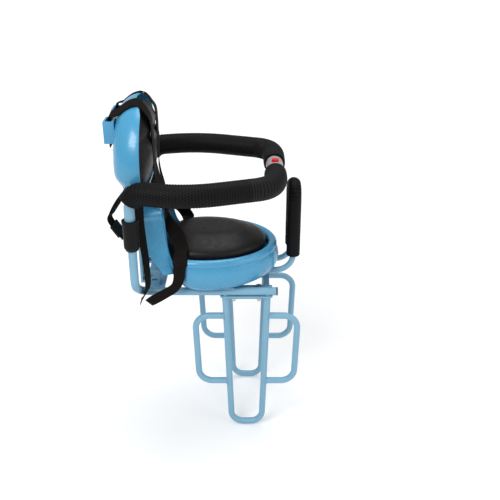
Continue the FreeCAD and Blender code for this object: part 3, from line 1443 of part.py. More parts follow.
tail = ribbon(
    [
        ((tail_x + 1, tail_y, tail_z - 7), (0, 1, 0.1), 0.9),
        ((tail_x + 5, tail_y, tail_z), (0.1, 1, 0), 0.9),
        ((tail_x + 11, tail_y, tail_z + 10), (0.2, 1, 0), 0.9),
        ((tail_x + 18, tail_y, tail_z + 28), (0.5, 0.8, 0), 0.8),
        ((tail_x + 21, tail_y, size("rim_z") + 6), (0.7, 0.5, 0), 0.7),
        ((tail_x + 18, tail_y + 4, size("neck_z") - 10), (0.8, 0.3, 0), 0.8),
        ((tail_x + 6, (tail_y + end_y) / 2 - 4, size("neck_top_z") - 16), (0.9, 0.2, 0), 0.9),
        ((end_x, end_y, end_z - 14), (1, 0, 0), 0.9),
        ((end_x, end_y, end_z), (1, 0, 0), 0.9),
    ]
)
right_lap = group("lap_pair", [plain("lap", lap), plain("lap_tail", tail)])
keep(right_lap, "right_lap_belt")
keep(mirrored("lap_left", right_lap), "left_lap_belt")

# Rear belts hang from under the backrest, each through a slider.
rear_across = Vector(0.1, 1, 0)
rear_x = size("dish_rear_x") + 15
rear_y = -size("bar_y") + 8
rear_half = size("belt_wide") / 2
rear_z = min(underside_of(dish, rear_x, rear_y + k * rear_half) for k in (-1, 0, 1)) + 0.2
rear_high = Vector(rear_x - 29, rear_y - 5, rear_z - 56)
rear_low = Vector(rear_x - 7, rear_y - 7, rear_z - 88)
rear = ribbon(
    [
        ((rear_x, rear_y, rear_z), tuple(rear_across), 1),
        ((rear_x - 14, rear_y - 2, rear_z - 24), tuple(rear_across), 1),
        ((rear_x - 27, rear_y - 4, rear_z - 46), tuple(rear_across), 1),
        (tuple(rear_high), tuple(rear_across), 1),
        (tuple(rear_low), tuple(rear_across), 1),
    ]
)
right_rear = plain("rear", rear)
keep(right_rear, "right_rear_belt")
keep(mirrored("rear_left", right_rear), "left_rear_belt")

slider_block = Part.makeBox(
    size("slider_len"),
    size("slider_wide"),
    size("slider_thick"),
    Vector(-size("slider_len") / 2, -size("slider_wide") / 2, -size("slider_thick") / 2),
)
slider_block = slider_block.makeFillet(size("slider_thick") * 0.25, slider_block.Edges)
slider_gap = Part.makeBox(
    size("slider_len") * 2,
    size("belt_wide") + 2 * size("pad_gap"),
    size("belt_thick") + 2 * size("pad_gap"),
    Vector(
        -size("slider_len"),
        -size("belt_wide") / 2 - size("pad_gap"),
        -size("belt_thick") / 2 - size("pad_gap"),
    ),
)
slider_block = slider_block.cut(slider_gap)
run_way = (rear_low - rear_high).normalize()
face_way = run_way.cross(rear_across).normalize()
wide_way = face_way.cross(run_way)
slider_block.Placement = FreeCAD.Placement(
    rear_high + (rear_low - rear_high) * 0.5,
    Rotation(run_way, wide_way, face_way, "XYZ"),
)
right_slider = plain("slider", slider_block)
keep(group("sliders", [right_slider, mirrored("slider_left", right_slider)]), "belt_sliders")

doc.recompute()
for obj in doc.Objects:
    if "Invalid" in obj.State or "Error" in obj.State:
        raise RuntimeError("%s failed: %s" % (obj.Name, obj.State))
for piece in pieces:
    if piece.Shape.isNull() or not piece.Shape.isValid():
        raise RuntimeError("%s has no valid shape" % piece.Label)
os.makedirs("parts", exist_ok=True)
for piece in pieces:
    piece.Shape.exportStep("parts/%s.step" % piece.Label)
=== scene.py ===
# %% [markdown]
# # A rear child bike seat
# The steel frame, the moulded shells and the fasteners come from the CAD model and keep their shape.
# This lesson adds what CAD is poor at: foam, cushions, webbing, weld beads and every finish.
# Blender counts in metres. Sizes here are written in millimetres and multiplied by MM.

# %% Load the frame
import json
import math

import bpy
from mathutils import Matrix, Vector


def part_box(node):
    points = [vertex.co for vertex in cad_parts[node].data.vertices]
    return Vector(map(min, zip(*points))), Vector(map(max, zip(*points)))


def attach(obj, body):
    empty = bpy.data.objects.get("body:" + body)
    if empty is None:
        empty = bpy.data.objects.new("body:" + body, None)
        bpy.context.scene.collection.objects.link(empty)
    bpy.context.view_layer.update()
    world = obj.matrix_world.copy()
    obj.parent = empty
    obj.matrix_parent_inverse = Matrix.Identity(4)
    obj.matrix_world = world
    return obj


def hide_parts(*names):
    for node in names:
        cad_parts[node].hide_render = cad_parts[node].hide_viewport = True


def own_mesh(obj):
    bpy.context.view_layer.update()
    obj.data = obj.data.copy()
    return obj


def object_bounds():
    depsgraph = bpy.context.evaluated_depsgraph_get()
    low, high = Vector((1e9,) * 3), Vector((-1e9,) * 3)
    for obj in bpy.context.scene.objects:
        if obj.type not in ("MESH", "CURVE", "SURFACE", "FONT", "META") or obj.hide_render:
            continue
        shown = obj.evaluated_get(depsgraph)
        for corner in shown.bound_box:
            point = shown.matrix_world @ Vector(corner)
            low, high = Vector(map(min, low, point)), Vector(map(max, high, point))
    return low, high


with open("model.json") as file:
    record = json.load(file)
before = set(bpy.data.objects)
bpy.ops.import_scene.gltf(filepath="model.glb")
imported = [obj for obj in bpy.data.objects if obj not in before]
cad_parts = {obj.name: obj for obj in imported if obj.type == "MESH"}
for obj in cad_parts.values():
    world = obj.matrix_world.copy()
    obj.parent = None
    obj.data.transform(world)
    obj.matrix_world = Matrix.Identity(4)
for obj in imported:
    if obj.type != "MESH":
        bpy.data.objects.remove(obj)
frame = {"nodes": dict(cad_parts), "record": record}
cad_box = [list(corner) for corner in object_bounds()]
MM = 0.001
SIDES = (("right", -1), ("left", 1))
print("CAD box in metres:", cad_box)

# %% [markdown]
# ## Small tools
# Operators act on whatever is selected, so every piece starts from an empty selection.
# A finished piece has its modifiers applied and its place in its mesh, with its object at the origin.
# A few helpers look after that, so that the cells below show only the modelling.


# %% Tools for objects
def deselect():
    """Leave edit mode and select nothing."""
    if bpy.context.mode != "OBJECT":
        bpy.ops.object.mode_set(mode="OBJECT")
    bpy.ops.object.select_all(action="DESELECT")


def take(piece):
    """Make one piece the only selected and active one."""
    deselect()
    piece.select_set(True)
    bpy.context.view_layer.objects.active = piece


def settle():
    """Move the place, turn and size of the selected object into its mesh."""
    bpy.ops.object.transform_apply(location=True, rotation=True, scale=True)


def bake_modifiers(piece):
    """Apply every modifier in its order."""
    take(piece)
    for modifier in list(piece.modifiers):
        bpy.ops.object.modifier_apply(modifier=modifier.name)


# %% Finish a piece
def dress(piece, name, finish, body, smooth_deg):
    """Give a new piece its name, finish, body and material slot, and shade it smooth."""
    piece.name = name
    piece.data.name = name
    piece.data.materials.clear()
    piece.data.materials.append(finish)
    take(piece)
    bpy.ops.object.shade_smooth_by_angle(angle=math.radians(smooth_deg))
    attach(piece, body)
    print(name, len(piece.data.polygons), "faces")


# %% [markdown]
# ## Colours and nodes
# Colours are written as they look on screen and turned to linear light once, here.
# One function adds a shader node with its settings and its links. A pattern's scale is worked out
# from a size in millimetres, so that it fits the piece whatever the piece's own size is.


# %% Tools for materials
def linear(hex_colour):
    """An sRGB hex colour as linear light, with an alpha of 1."""
    parts = [int(hex_colour[i : i + 2], 16) / 255 for i in (1, 3, 5)]
    parts = [c / 12.92 if c <= 0.04045 else ((c + 0.055) / 1.055) ** 2.4 for c in parts]
    return (*parts, 1.0)


def put(tree, kind, inputs=None, into=None, **settings):
    """Add a node. Inputs are values or links, and its first output may go into a socket."""
    added = tree.nodes.new(kind)
    for key, value in settings.items():
        setattr(added, key, value)
    for key, value in (inputs or {}).items():
        if isinstance(value, bpy.types.NodeSocket):
            tree.links.new(value, added.inputs[key])
        else:
            added.inputs[key].default_value = value
    if into is not None:
        tree.links.new(added.outputs[0], into)
    return added


def new_material(name, **sockets):
    """A material whose shader has some of its sockets set, such as specular_ior_level=0.2."""
    material = bpy.data.materials.new(name)
    material.use_nodes = True
    tree = material.node_tree
    shader = tree.nodes["Principled BSDF"]
    for key, value in sockets.items():
        shader.inputs[key.replace("_", " ").title().replace("Ior", "IOR")].default_value = value
    return material, tree, shader


def per_metre(size_mm):
    """Texture scale that gives a feature this many millimetres wide."""
    return 1.0 / (size_mm * MM)


def mottle(tree, place, size_mm, low, high):
    """Noise of one grain size, spread between two values or two colours."""
    noise = put(tree, "ShaderNodeTexNoise", {"Vector": place, "Scale": per_metre(size_mm), "Detail": 3.0})
    if isinstance(low, float):
        ends = {"From Min": 0.3, "From Max": 0.7, "To Min": low, "To Max": high}
        return put(tree, "ShaderNodeMapRange", {"Value": noise.outputs[0], **ends}).outputs[0]
    # Sockets 0, 6 and 7 of a colour Mix are its share and its two colours, and output 2 is the colour.
    return put(tree, "ShaderNodeMix", {0: noise.outputs[0], 6: low, 7: high}, data_type="RGBA").outputs[2]


# %% [markdown]
# ## Moulded and painted finishes
# The shells, latch and pivot sleeves are injection-moulded plastic, and the steel is powder coated.
# Both are an even colour under a thin relief, so one function makes them all: the colour and the gloss
# drift a little over the surface, which keeps a large plain face from looking lifeless.

# %% An even finish
COLOUR_DRIFT = 45
GLOSS_DRIFT = 18
SHINIER = 0.04
DULLER = 0.05
finishes = {}


def even_finish(name, light, dark, rough, grain_mm, depth_mm, shine=0.5, coat=0.0):
    """An even colour with a fine relief, as moulded plastic and powder coat have."""
    material, tree, shader = new_material(name, ior=1.52, specular_ior_level=shine, coat_weight=coat)
    place = put(tree, "ShaderNodeTexCoord").outputs["Object"]
    colour = mottle(tree, place, COLOUR_DRIFT, linear(dark), linear(light))
    tree.links.new(colour, shader.inputs["Base Color"])
    gloss = mottle(tree, place, GLOSS_DRIFT, rough - SHINIER, rough + DULLER)
    tree.links.new(gloss, shader.inputs["Roughness"])
    fine = put(tree, "ShaderNodeTexNoise", {"Vector": place, "Scale": per_metre(grain_mm), "Detail": 2.0})
    bump = {"Height": fine.outputs[0], "Strength": 0.5, "Distance": depth_mm * MM}
    put(tree, "ShaderNodeBump", bump, shader.inputs["Normal"])
    return material


# %% Plastics and paint
# Polypropylene from a polished mould: clear highlights on a colour that goes all through.
finishes["blue_plastic"] = even_finish(
    "gloss_polypropylene_blue", "#469AC3", "#3E90B9", rough=0.26, grain_mm=4.0, depth_mm=0.004, coat=0.15
)
# Nylon from a grained mould: a dull black that hardly catches the lamps.
finishes["black_plastic"] = even_finish(
    "nylon_black", "#121213", "#0C0C0D", rough=0.5, grain_mm=1.2, depth_mm=0.06, shine=0.13
)
# ABS for the latch: a warm grey with a half gloss.
finishes["grey_plastic"] = even_finish(
    "abs_warm_grey", "#A59DA0", "#958E91", rough=0.34, grain_mm=1.5, depth_mm=0.03
)
# ABS for the button: a strong red, satin so that its colour stays deep.
finishes["red_plastic"] = even_finish(
    "abs_red", "#D01A14", "#BC120D", rough=0.42, grain_mm=1.5, depth_mm=0.02, shine=0.15
)
# Powder coat on steel tube: a soft gloss with the faint ripple called orange peel.
finishes["painted_steel"] = even_finish(
    "powder_coated_steel", "#7FAFC8", "#72A2BC", rough=0.36, grain_mm=3.0, depth_mm=0.05
)
print("even finishes:", sorted(finishes))

# %% [markdown]
# ## Zinc-plated steel
# Bolts, nuts and washers are plated with zinc, which is a pale grey with small cloudy patches.
# A metal needs only its colour and its roughness, so noise of a few millimetres drives both.

# %% Zinc
zinc, tree, shader = new_material("zinc_plated_steel", metallic=1.0)
place = put(tree, "ShaderNodeTexCoord").outputs["Object"]
tree.links.new(mottle(tree, place, 4, linear("#B4B0A8"), linear("#D2CFC8")), shader.inputs["Base Color"])
tree.links.new(mottle(tree, place, 2, 0.22, 0.4), shader.inputs["Roughness"])
finishes["zinc_steel"] = zinc
print("zinc has", len(tree.nodes), "nodes")

# %% [markdown]
# ## Foam rubber
# The sleeves on the arms and the handle are nitrile foam, dull and almost black.
# Their raised dots are painted paler, a painted highlight on their crests. Colour that depends on the
# dots could come from a texture, but a texture has to be lined up with them, so the sleeves carry an
# attribute that says where their dots are.

# %% Foam
foam, tree, shader = new_material("nitrile_foam_black", roughness=0.55, specular_ior_level=0.1)
place = put(tree, "ShaderNodeTexCoord").outputs["Object"]
# The attribute is 1 on the tops of the dots and 0 in the grooves.
crest = put(tree, "ShaderNodeAttribute", attribute_name="crest").outputs["Fac"]
grooves = mottle(tree, place, 6, linear("#020203"), linear("#060607"))
# The paler grey on the crests is a painted highlight, which lets the knurl show.
crest_highlight = put(tree, "ShaderNodeMix", {0: crest, 6: grooves, 7: linear("#222224")}, data_type="RGBA")
tree.links.new(crest_highlight.outputs[2], shader.inputs["Base Color"])
cells = put(tree, "ShaderNodeTexNoise", {"Vector": place, "Scale": per_metre(0.9), "Detail": 2.0})
bump = {"Height": cells.outputs[0], "Strength": 0.5, "Distance": 0.1 * MM}
put(tree, "ShaderNodeBump", bump, shader.inputs["Normal"])
finishes["foam"] = foam
print("foam has", len(tree.nodes), "nodes")

# %% [markdown]
# ## Coated cloth
# The cushions are wrapped in cloth with a soft vinyl coat, embossed with a fine leather grain.
# Voronoi cells give the small rounded fields of such a grain, and their edges are its creases.

# %% Cushion cover
vinyl, tree, shader = new_material("coated_cloth_charcoal", ior=1.5, specular_ior_level=0.22)
place = put(tree, "ShaderNodeTexCoord").outputs["Object"]
tree.links.new(mottle(tree, place, 30, linear("#100F10"), linear("#171516")), shader.inputs["Base Color"])
tree.links.new(mottle(tree, place, 9, 0.38, 0.52), shader.inputs["Roughness"])
grain = put(
    tree,
    "ShaderNodeTexVoronoi",
    {"Vector": place, "Scale": per_metre(1.8), "Randomness": 0.9},
    feature="DISTANCE_TO_EDGE",
)
bump = {"Height": grain.outputs["Distance"], "Strength": 0.35, "Distance": 0.25 * MM}
put(tree, "ShaderNodeBump", bump, shader.inputs["Normal"])
finishes["cushion_vinyl"] = vinyl
print("cushion cover has", len(tree.nodes), "nodes")

# %% [markdown]
# ## Webbing
# The harness is woven from polyester yarn, which is matt and nearly black.
# A brick pattern stands for the weave. It follows the belt through bends, so it reads the belt's own
# UV map, which is in millimetres along and across. The yarns are drawn about three times too coarse,
# so that they show.

# %% Weave
YARN_LONG = 3.6
YARN_WIDE = 1.8
YARN_GAP = 0.18
web, tree, shader = new_material("polyester_webbing", roughness=0.7, specular_ior_level=0.08)
yarns = {"Color1": linear("#1A1614"), "Color2": linear("#13100E"), "Mortar": linear("#070505")}
laid = {"Scale": 1.0, "Mortar Size": YARN_GAP, "Brick Width": YARN_LONG, "Row Height": YARN_WIDE}
belt_uv = put(tree, "ShaderNodeTexCoord").outputs["UV"]
weave = put(tree, "ShaderNodeTexBrick", {"Vector": belt_uv, **yarns, **laid}, shader.inputs["Base Color"])
# The gaps lie lower than the yarns, so the depth is negative.
bump = {"Height": weave.outputs["Fac"], "Strength": 0.6, "Distance": -0.25 * MM}
put(tree, "ShaderNodeBump", bump, shader.inputs["Normal"])
finishes["webbing"] = web
print("webbing has", len(tree.nodes), "nodes")

# %% [markdown]
# ## Finishes on the CAD pieces
# Each CAD piece has a material slot in the part's record, and each slot has one finish above.
# The pieces keep their mesh; only the finish is new.

# %% Dress the CAD pieces
for row in frame["record"]["subparts"]:
    cad_piece = frame["nodes"][row["node"]]
    cad_piece.data.materials.clear()
    cad_piece.data.materials.append(finishes[row["material_slot"]])
print("finishes on", len(frame["nodes"]), "CAD pieces")

# %% [markdown]
# ## Sheets through rows of points
# The side wings and the belts are thin sheets that bend along their length.
# Extruding such a sheet edge by edge leaves kinks. Here a few rows of points are joined by smooth
# curves, a grid is laid through them, and Solidify and Bevel give it a wall with soft edges.


# %% Smooth rows
def between(a, b, c, d, t):
    """Catmull-Rom: the point a share t of the way from b to c."""
    return 0.5 * (
        2 * b + (c - a) * t + (2 * a - 5 * b + 4 * c - d) * t * t + (3 * b - a - 3 * c + d) * t**3
    )


def smooth_rows(stations, steps):
    """Points on smooth curves through rows of points, a few steps between each two rows."""
    rows = []
    for i in range(len(stations) - 1):
        ring = [stations[j] for j in (max(i - 1, 0), i, i + 1, min(i + 2, len(stations) - 1))]
        for k in range(steps):
            rows.append([between(*points, k / steps) for points in zip(*ring)])
    return rows + [stations[-1]]


# %% Grid and wall
def grid_through(rows, columns):
    """A grid whose rows run straight from the first to the last point given for each."""
    deselect()
    bpy.ops.mesh.primitive_grid_add(x_subdivisions=columns, y_subdivisions=len(rows) - 1, size=1)
    sheet = bpy.context.object
    for v in sheet.data.vertices:
        row, column = divmod(v.index, columns + 1)
        v.co = rows[row][0].lerp(rows[row][-1], column / columns) * MM
    return sheet


def thicken(sheet, thick_mm, edge_mm):
    """Give a sheet its wall, half to each side, and round the wall's edges."""
    wall = sheet.modifiers.new("thickness", "SOLIDIFY")
    wall.thickness = thick_mm * MM
    wall.offset = 0.0
    edge = sheet.modifiers.new("edge", "BEVEL")
    edge.width = edge_mm * MM
    edge.segments = 2
    edge.limit_method = "ANGLE"
    bake_modifiers(sheet)


# %% [markdown]
# ## Side wings
# On each side a moulded wing runs from the seat's heel up to the neck, one piece with the shell.
# A Boolean with the shell would join them, but the shell keeps its mesh, so the wing only runs into it.
# Its outline is a few heights with a rear and a front edge, and a ray sent in from the side finds
# where the front edge meets the shell.

# %% Wings
# Height, rear edge and front edge of the wing, seen from the side.
WING_ROWS = [
    (166, -184, -152),
    (155, -191, -150),
    (142, -192, -147),
    (120, -187, -146),
    (100, -178, -142),
    (80, -167, -138),
    (64, -156, -134),
    (50, -146, -130),
    (44, -142, -128),
]
WING_STEPS = 5
WING_COLUMNS = 8
WING_WALL = 3.2
WING_EDGE = 1.2
# The wing spreads outwards by this share of its width.
WING_FLARE = 0.25
RAY_START = 200
shell = frame["nodes"]["seat_shell"]
for side, way in SIDES:
    edges = []
    for z, rear_x, front_x in WING_ROWS:
        outside = Vector((front_x, way * RAY_START, z)) * MM
        _, spot, _, _ = shell.ray_cast(outside, Vector((0, -way, 0)))
        # A third of the wall goes into the shell, so that no gap shows.
        front_y = spot.y / MM - way * WING_WALL / 3
        rear_y = front_y + way * WING_FLARE * (front_x - rear_x)
        edges.append([Vector((rear_x, rear_y, z)), Vector((front_x, front_y, z))])
    print(side, "wing meets the shell at Y", [round(edge[1].y, 1) for edge in edges])
    wing = grid_through(smooth_rows(edges, WING_STEPS), WING_COLUMNS)
    thicken(wing, WING_WALL, WING_EDGE)
    dress(wing, side + "_side_wing", finishes["blue_plastic"], "frame", 50)

# %% [markdown]
# ## Weld beads
# The footrests' bent rods are welded to each other and to the base bars, and paint rounds the beads off.
# A bead could be sculpted, but at this size a ring round each joint reads as a weld once it has a ripple.
# The ring is a torus, pushed in and out round its circle, and all of them are joined to one piece.

# %% One bead
ROD_R = 6.0
BEAD_R = 1.3
RIPPLES = 11
RIPPLE_SHARE = 0.03


def weld_bead(place, turn):
    """A rippled ring round a rod, sunk most of the way into it."""
    deselect()
    bpy.ops.mesh.primitive_torus_add(
        major_segments=44,
        minor_segments=8,
        major_radius=(ROD_R + BEAD_R / 4) * MM,
        minor_radius=BEAD_R * MM,
        location=[c * MM for c in place],
        rotation=turn,
    )
    bead = bpy.context.object
    for v in bead.data.vertices:
        around = math.atan2(v.co.y, v.co.x)
        v.co *= 1 + RIPPLE_SHARE * math.sin(RIPPLES * around)
    settle()
    return bead


def join(pieces):
    """Make several meshes one object, the first of them."""
    take(pieces[0])
    for piece in pieces:
        piece.select_set(True)
    if len(pieces) > 1:
        bpy.ops.object.join()
    return pieces[0]


# %% Beads on both footrests
# The stirrups' legs lean: LEG_X is their distance from the middle at height 0.
LEG_X = 38.6
LEG_TAPER = 0.03158
LEG_Y = 80
LOOP_ENDS_Z = (-41, -187)
BAR_LOW_Z = -0.6
# A loop's bead sits a little inside the leg's surface.
BEAD_OUT = 0.8
beads = []
for _, y_way in SIDES:
    for x_way in (-1, 1):
        for z in LOOP_ENDS_Z:
            leg_x = LEG_X + LEG_TAPER * z + ROD_R * BEAD_OUT
            beads.append(weld_bead((x_way * leg_x, y_way * LEG_Y, z), (0, math.pi / 2, 0)))
        bar_x = LEG_X + LEG_TAPER * BAR_LOW_Z
        beads.append(weld_bead((x_way * bar_x, y_way * LEG_Y, BAR_LOW_Z), (0, 0, 0)))
dress(join(beads), "weld_beads", finishes["painted_steel"], "frame", 80)

# %% [markdown]
# ## Return spring
# A small coil under the latch button pushes it up again, and it shortens as the button goes down.
# A wire's round section turned by a Screw modifier does it in one
# step, with turns that are sure to be even.

# %% Coil
WIRE_R = 0.35 * MM
TURNS = 3
STEPS_PER_TURN = 28
spring_low, spring_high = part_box("button_spring")
coil_high = spring_high.z - spring_low.z
coil_wide = spring_high.x - spring_low.x
deselect()
bpy.ops.mesh.primitive_circle_add(
    vertices=12,
    radius=WIRE_R,
    location=(coil_wide / 2 - WIRE_R, 0, WIRE_R),
    rotation=(math.pi / 2, 0, 0),
)
coil = bpy.context.object
settle()
turn = coil.modifiers.new("coil", "SCREW")
turn.steps = turn.render_steps = STEPS_PER_TURN
turn.iterations = TURNS
turn.screw_offset = (coil_high - 2 * WIRE_R) / TURNS
bake_modifiers(coil)
print("coil of", TURNS, "turns,", round(coil_high / MM, 1), "mm high")

# %% Close the wire's ends and seat the coil
foot = Vector(((spring_low.x + spring_high.x) / 2, (spring_low.y + spring_high.y) / 2, spring_low.z))
bpy.ops.object.mode_set(mode="EDIT")
bpy.ops.mesh.select_all(action="DESELECT")
bpy.ops.mesh.select_non_manifold()
bpy.ops.mesh.edge_face_add()
bpy.ops.mesh.select_all(action="SELECT")
bpy.ops.mesh.normals_make_consistent(inside=False)
bpy.ops.object.mode_set(mode="OBJECT")
bpy.ops.transform.translate(value=foot)
settle()
dress(coil, "return_spring", finishes["zinc_steel"], "right_arm", 60)
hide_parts("button_spring")
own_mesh(coil)

# %% [markdown]
# ## Routes for the foam covers
# The arms and the handle are tubes with straight runs and bends, and their covers follow them.
# A Bezier curve gives both: a knot stands at each end of a bend, and its handles make the bend round.


# %% A bent route
def bent_route(corners, radii):
    """A Bezier curve of straight runs and arcs through corner points in millimetres."""
    points = [Vector(c) * MM for c in corners]
    knots = [(points[0], (points[1] - points[0]).normalized(), 0.0)]
    for before, corner, after, radius in zip(points, points[1:], points[2:], radii):
        u, w = (corner - before).normalized(), (after - corner).normalized()
        turn = u.angle(w)
        reach = radius * MM * math.tan(turn / 2)
        pull = radius * MM * 4 / 3 * math.tan(turn / 4)
        knots += [(corner - u * reach, u, pull), (corner + w * reach, w, pull)]
    knots.append((points[-1], (points[-1] - points[-2]).normalized(), 0.0))
    deselect()
    bpy.ops.curve.primitive_bezier_curve_add()
    route = bpy.context.object
    spline = route.data.splines[0]
    spline.bezier_points.add(len(knots) - 2)
    for i, (knot, (place, way, pull)) in enumerate(zip(spline.bezier_points, knots)):
        knot.handle_left_type = knot.handle_right_type = "FREE"
        knot.co = place
        # Odd knots start an arc and even ones end it, so only the arc's side is pulled.
        ahead = pull if i % 2 else (knots[min(i + 1, len(knots) - 1)][0] - place).length / 3
        behind = pull if i % 2 == 0 else (place - knots[i - 1][0]).length / 3
        knot.handle_right = place + way * max(ahead, MM)
        knot.handle_left = place - way * max(behind, MM)
    spline.resolution_u = 48
    return route


# %% [markdown]
# ## The knurled sleeve
# The foam has rows of small raised dots, which run together into ribs near the latch.
# Dots set on a finished bend would crowd on its inside in a ragged way. So one short slice is modelled
# straight, repeated with an Array, closed at its ends and only then bent by a Curve modifier.
# The real dots are about 2 mm apart, and they are drawn wider and taller so that they show.


# %% Select by place
def pick(piece, kind, wanted):
    """Select in edit mode the vertices or edges that a test accepts."""
    take(piece)
    bpy.ops.object.mode_set(mode="EDIT")
    bpy.ops.mesh.select_mode(type=kind)
    bpy.ops.mesh.select_all(action="DESELECT")
    bpy.ops.object.mode_set(mode="OBJECT")
    for item in {"VERT": piece.data.vertices, "EDGE": piece.data.edges}[kind]:
        item.select = wanted(item)
    bpy.ops.object.mode_set(mode="EDIT")


# %% A slice with two rows of dots
DOT_PITCH = 4.8 * MM
DOT_HIGH = 1.1 * MM


def dotted_slice(radius, step, dots):
    """Four steps of sleeve along X, with a row of dots on its second and fourth ring."""
    deselect()
    bpy.ops.mesh.primitive_cylinder_add(
        vertices=2 * dots,
        radius=radius - DOT_HIGH,
        depth=4 * step,
        end_fill_type="NOTHING",
        location=(2 * step, 0, 0),
        rotation=(0, math.pi / 2, 0),
    )
    sleeve = bpy.context.object
    settle()
    verts = sleeve.data.vertices
    pick(sleeve, "EDGE", lambda e: abs(verts[e.vertices[0]].co.x - verts[e.vertices[1]].co.x) > step)
    bpy.ops.mesh.subdivide(number_cuts=3)

    def on_dot(v):
        ring = round(v.co.x / step)
        place = round(math.atan2(v.co.z, v.co.y) / (math.pi / dots))
        return ring % 2 == 1 and place % 2 == (ring // 2) % 2

    pick(sleeve, "VERT", on_dot)
    bpy.ops.transform.shrink_fatten(value=DOT_HIGH)
    bpy.ops.object.mode_set(mode="OBJECT")
    return sleeve


# %% Repeat, rib and mark the slice
def repeat_slice(sleeve, slices):
    """Set copies of the slice end to end and merge them."""
    repeat = sleeve.modifiers.new("repeat", "ARRAY")
    repeat.count = slices
    repeat.relative_offset_displace = (1, 0, 0)
    repeat.use_merge_vertices = True
    repeat.merge_threshold = 0.05 * MM
    bake_modifiers(sleeve)


def raise_ribs(sleeve, middle_r, step, rib_start, rib_end):
    """Raise what lies between the dots of a row, so that the row becomes a rib."""

    def on_rib(v):
        low = math.hypot(v.co.y, v.co.z) < middle_r
        return low and rib_start < v.co.x < rib_end and round(v.co.x / step) % 2 == 1

    pick(sleeve, "VERT", on_rib)
    bpy.ops.transform.shrink_fatten(value=DOT_HIGH)
    bpy.ops.object.mode_set(mode="OBJECT")


def mark_crests(sleeve, middle_r):
    """Write the attribute that the foam finish reads."""
    crest_mark = sleeve.data.attributes.new("crest", "FLOAT", "POINT")
    for mark, v in zip(crest_mark.data, sleeve.data.vertices):
        mark.value = float(math.hypot(v.co.y, v.co.z) > middle_r)


# %% Close and bend the sleeve
# The end face starts with a narrow ring, which keeps its rim crisp.
END_RING = 0.94
# The wall of the bore needs cuts along its length, or it couldn't bend.
BORE_CUTS = 80


def close_ends(sleeve, length, low_r, bore, step):
    """Close both ends down to the bore and join them by the bore's wall."""
    for end in (0.0, length):
        pick(sleeve, "VERT", lambda v: abs(v.co.x - end) < step / 2)
        for share in (END_RING, bore / low_r / END_RING):
            bpy.ops.mesh.extrude_region_move()
            bpy.ops.transform.resize(value=(1, share, share), center_override=(end, 0, 0))
    near_bore = bore * 1.05
    pick(sleeve, "VERT", lambda v: math.hypot(v.co.y, v.co.z) < near_bore)
    bpy.ops.mesh.select_mode(type="EDGE")
    bpy.ops.mesh.bridge_edge_loops(number_cuts=BORE_CUTS)
    bpy.ops.mesh.select_all(action="SELECT")
    bpy.ops.mesh.normals_make_consistent(inside=False)
    bpy.ops.object.mode_set(mode="OBJECT")


def foam_sleeve(route, radius, bore, start=0.0, ribbed=None):
    """A knurled sleeve along a route, which it uses up.

    It begins a distance from the route's start. Ribs lie between two distances from its far end.
    """
    length = route.data.splines[0].calc_length() - start
    slices = round(length / (2 * DOT_PITCH))
    step = length / slices / 4
    middle_r = radius - DOT_HIGH / 2
    sleeve = dotted_slice(radius, step, round(2 * math.pi * radius / DOT_PITCH))
    repeat_slice(sleeve, slices)
    if ribbed:
        raise_ribs(sleeve, middle_r, step, length - ribbed[0], length - ribbed[1])
    mark_crests(sleeve, middle_r)
    close_ends(sleeve, length, radius - DOT_HIGH, bore, step)
    bpy.ops.transform.translate(value=(start, 0, 0))
    settle()
    bend = sleeve.modifiers.new("bend", "CURVE")
    bend.object = route
    bend.deform_axis = "POS_X"
    bake_modifiers(sleeve)
    bpy.data.objects.remove(route)
    return sleeve


# %% [markdown]
# ## Arm foam and handle grip
# Each gate arm rises from its post, bends forwards and curves in to the latch, and its foam goes with it.
# The handle in front of the seat is a hoop, and its grip covers both legs and the bow.
# Both are padded, and each replaces its plain CAD tube.

# %% Arm foam
POST_X = -193
POST_Y = 128
SOCKET_Z = 180
ARM_Z = 221
ARM_BENDS = [30, 185, 45, 95]
ARM_FOAM_R = 20 * MM
ARM_BORE = 9.3 * MM
FOAM_START = 27 * MM
RIBBED = (110 * MM, 14 * MM)
# The latch is longer on the right arm, so that arm's foam ends further from the middle.
ARM_END_Y = {"right": 34.3, "left": 17.3}
for side, way in SIDES:
    arm_corners = [
        (POST_X, way * POST_Y, SOCKET_Z),
        (POST_X, way * POST_Y, ARM_Z),
        (-100, way * 155, ARM_Z),
        (42, way * 108, ARM_Z),
        (51, way * 70, ARM_Z),
        (51, way * ARM_END_Y[side], ARM_Z),
    ]
    arm_foam = foam_sleeve(bent_route(arm_corners, ARM_BENDS), ARM_FOAM_R, ARM_BORE, FOAM_START, RIBBED)
    dress(arm_foam, side + "_foam_cover", finishes["foam"], side + "_arm", 60)
    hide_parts(side + "_arm_foam")

# %% Handle grip
GRIP_X = 86.8
GRIP_Y = 24
GRIP_LOW = 58
GRIP_HIGH = 187
GRIP_BEND = 23.4
GRIP_R = 13 * MM
GRIP_BORE = 5.8 * MM
grip_corners = [
    (GRIP_X, -GRIP_Y, GRIP_LOW),
    (GRIP_X, -GRIP_Y, GRIP_HIGH),
    (GRIP_X, GRIP_Y, GRIP_HIGH),
    (GRIP_X, GRIP_Y, GRIP_LOW),
]
grip = foam_sleeve(bent_route(grip_corners, [GRIP_BEND, GRIP_BEND]), GRIP_R, GRIP_BORE)
dress(grip, "grip_cover", finishes["foam"], "frame", 60)
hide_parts("handle_grip")

# %% [markdown]
# ## Cushions
# A real cushion is foam in a sewn cover, so its faces swell and its edges stay soft.
# Sculpting that by hand takes skill. Here the CAD block is remeshed, drawn in a little and blown up
# again by cloth with inner pressure, which makes the swelling that a cover's own tension gives.


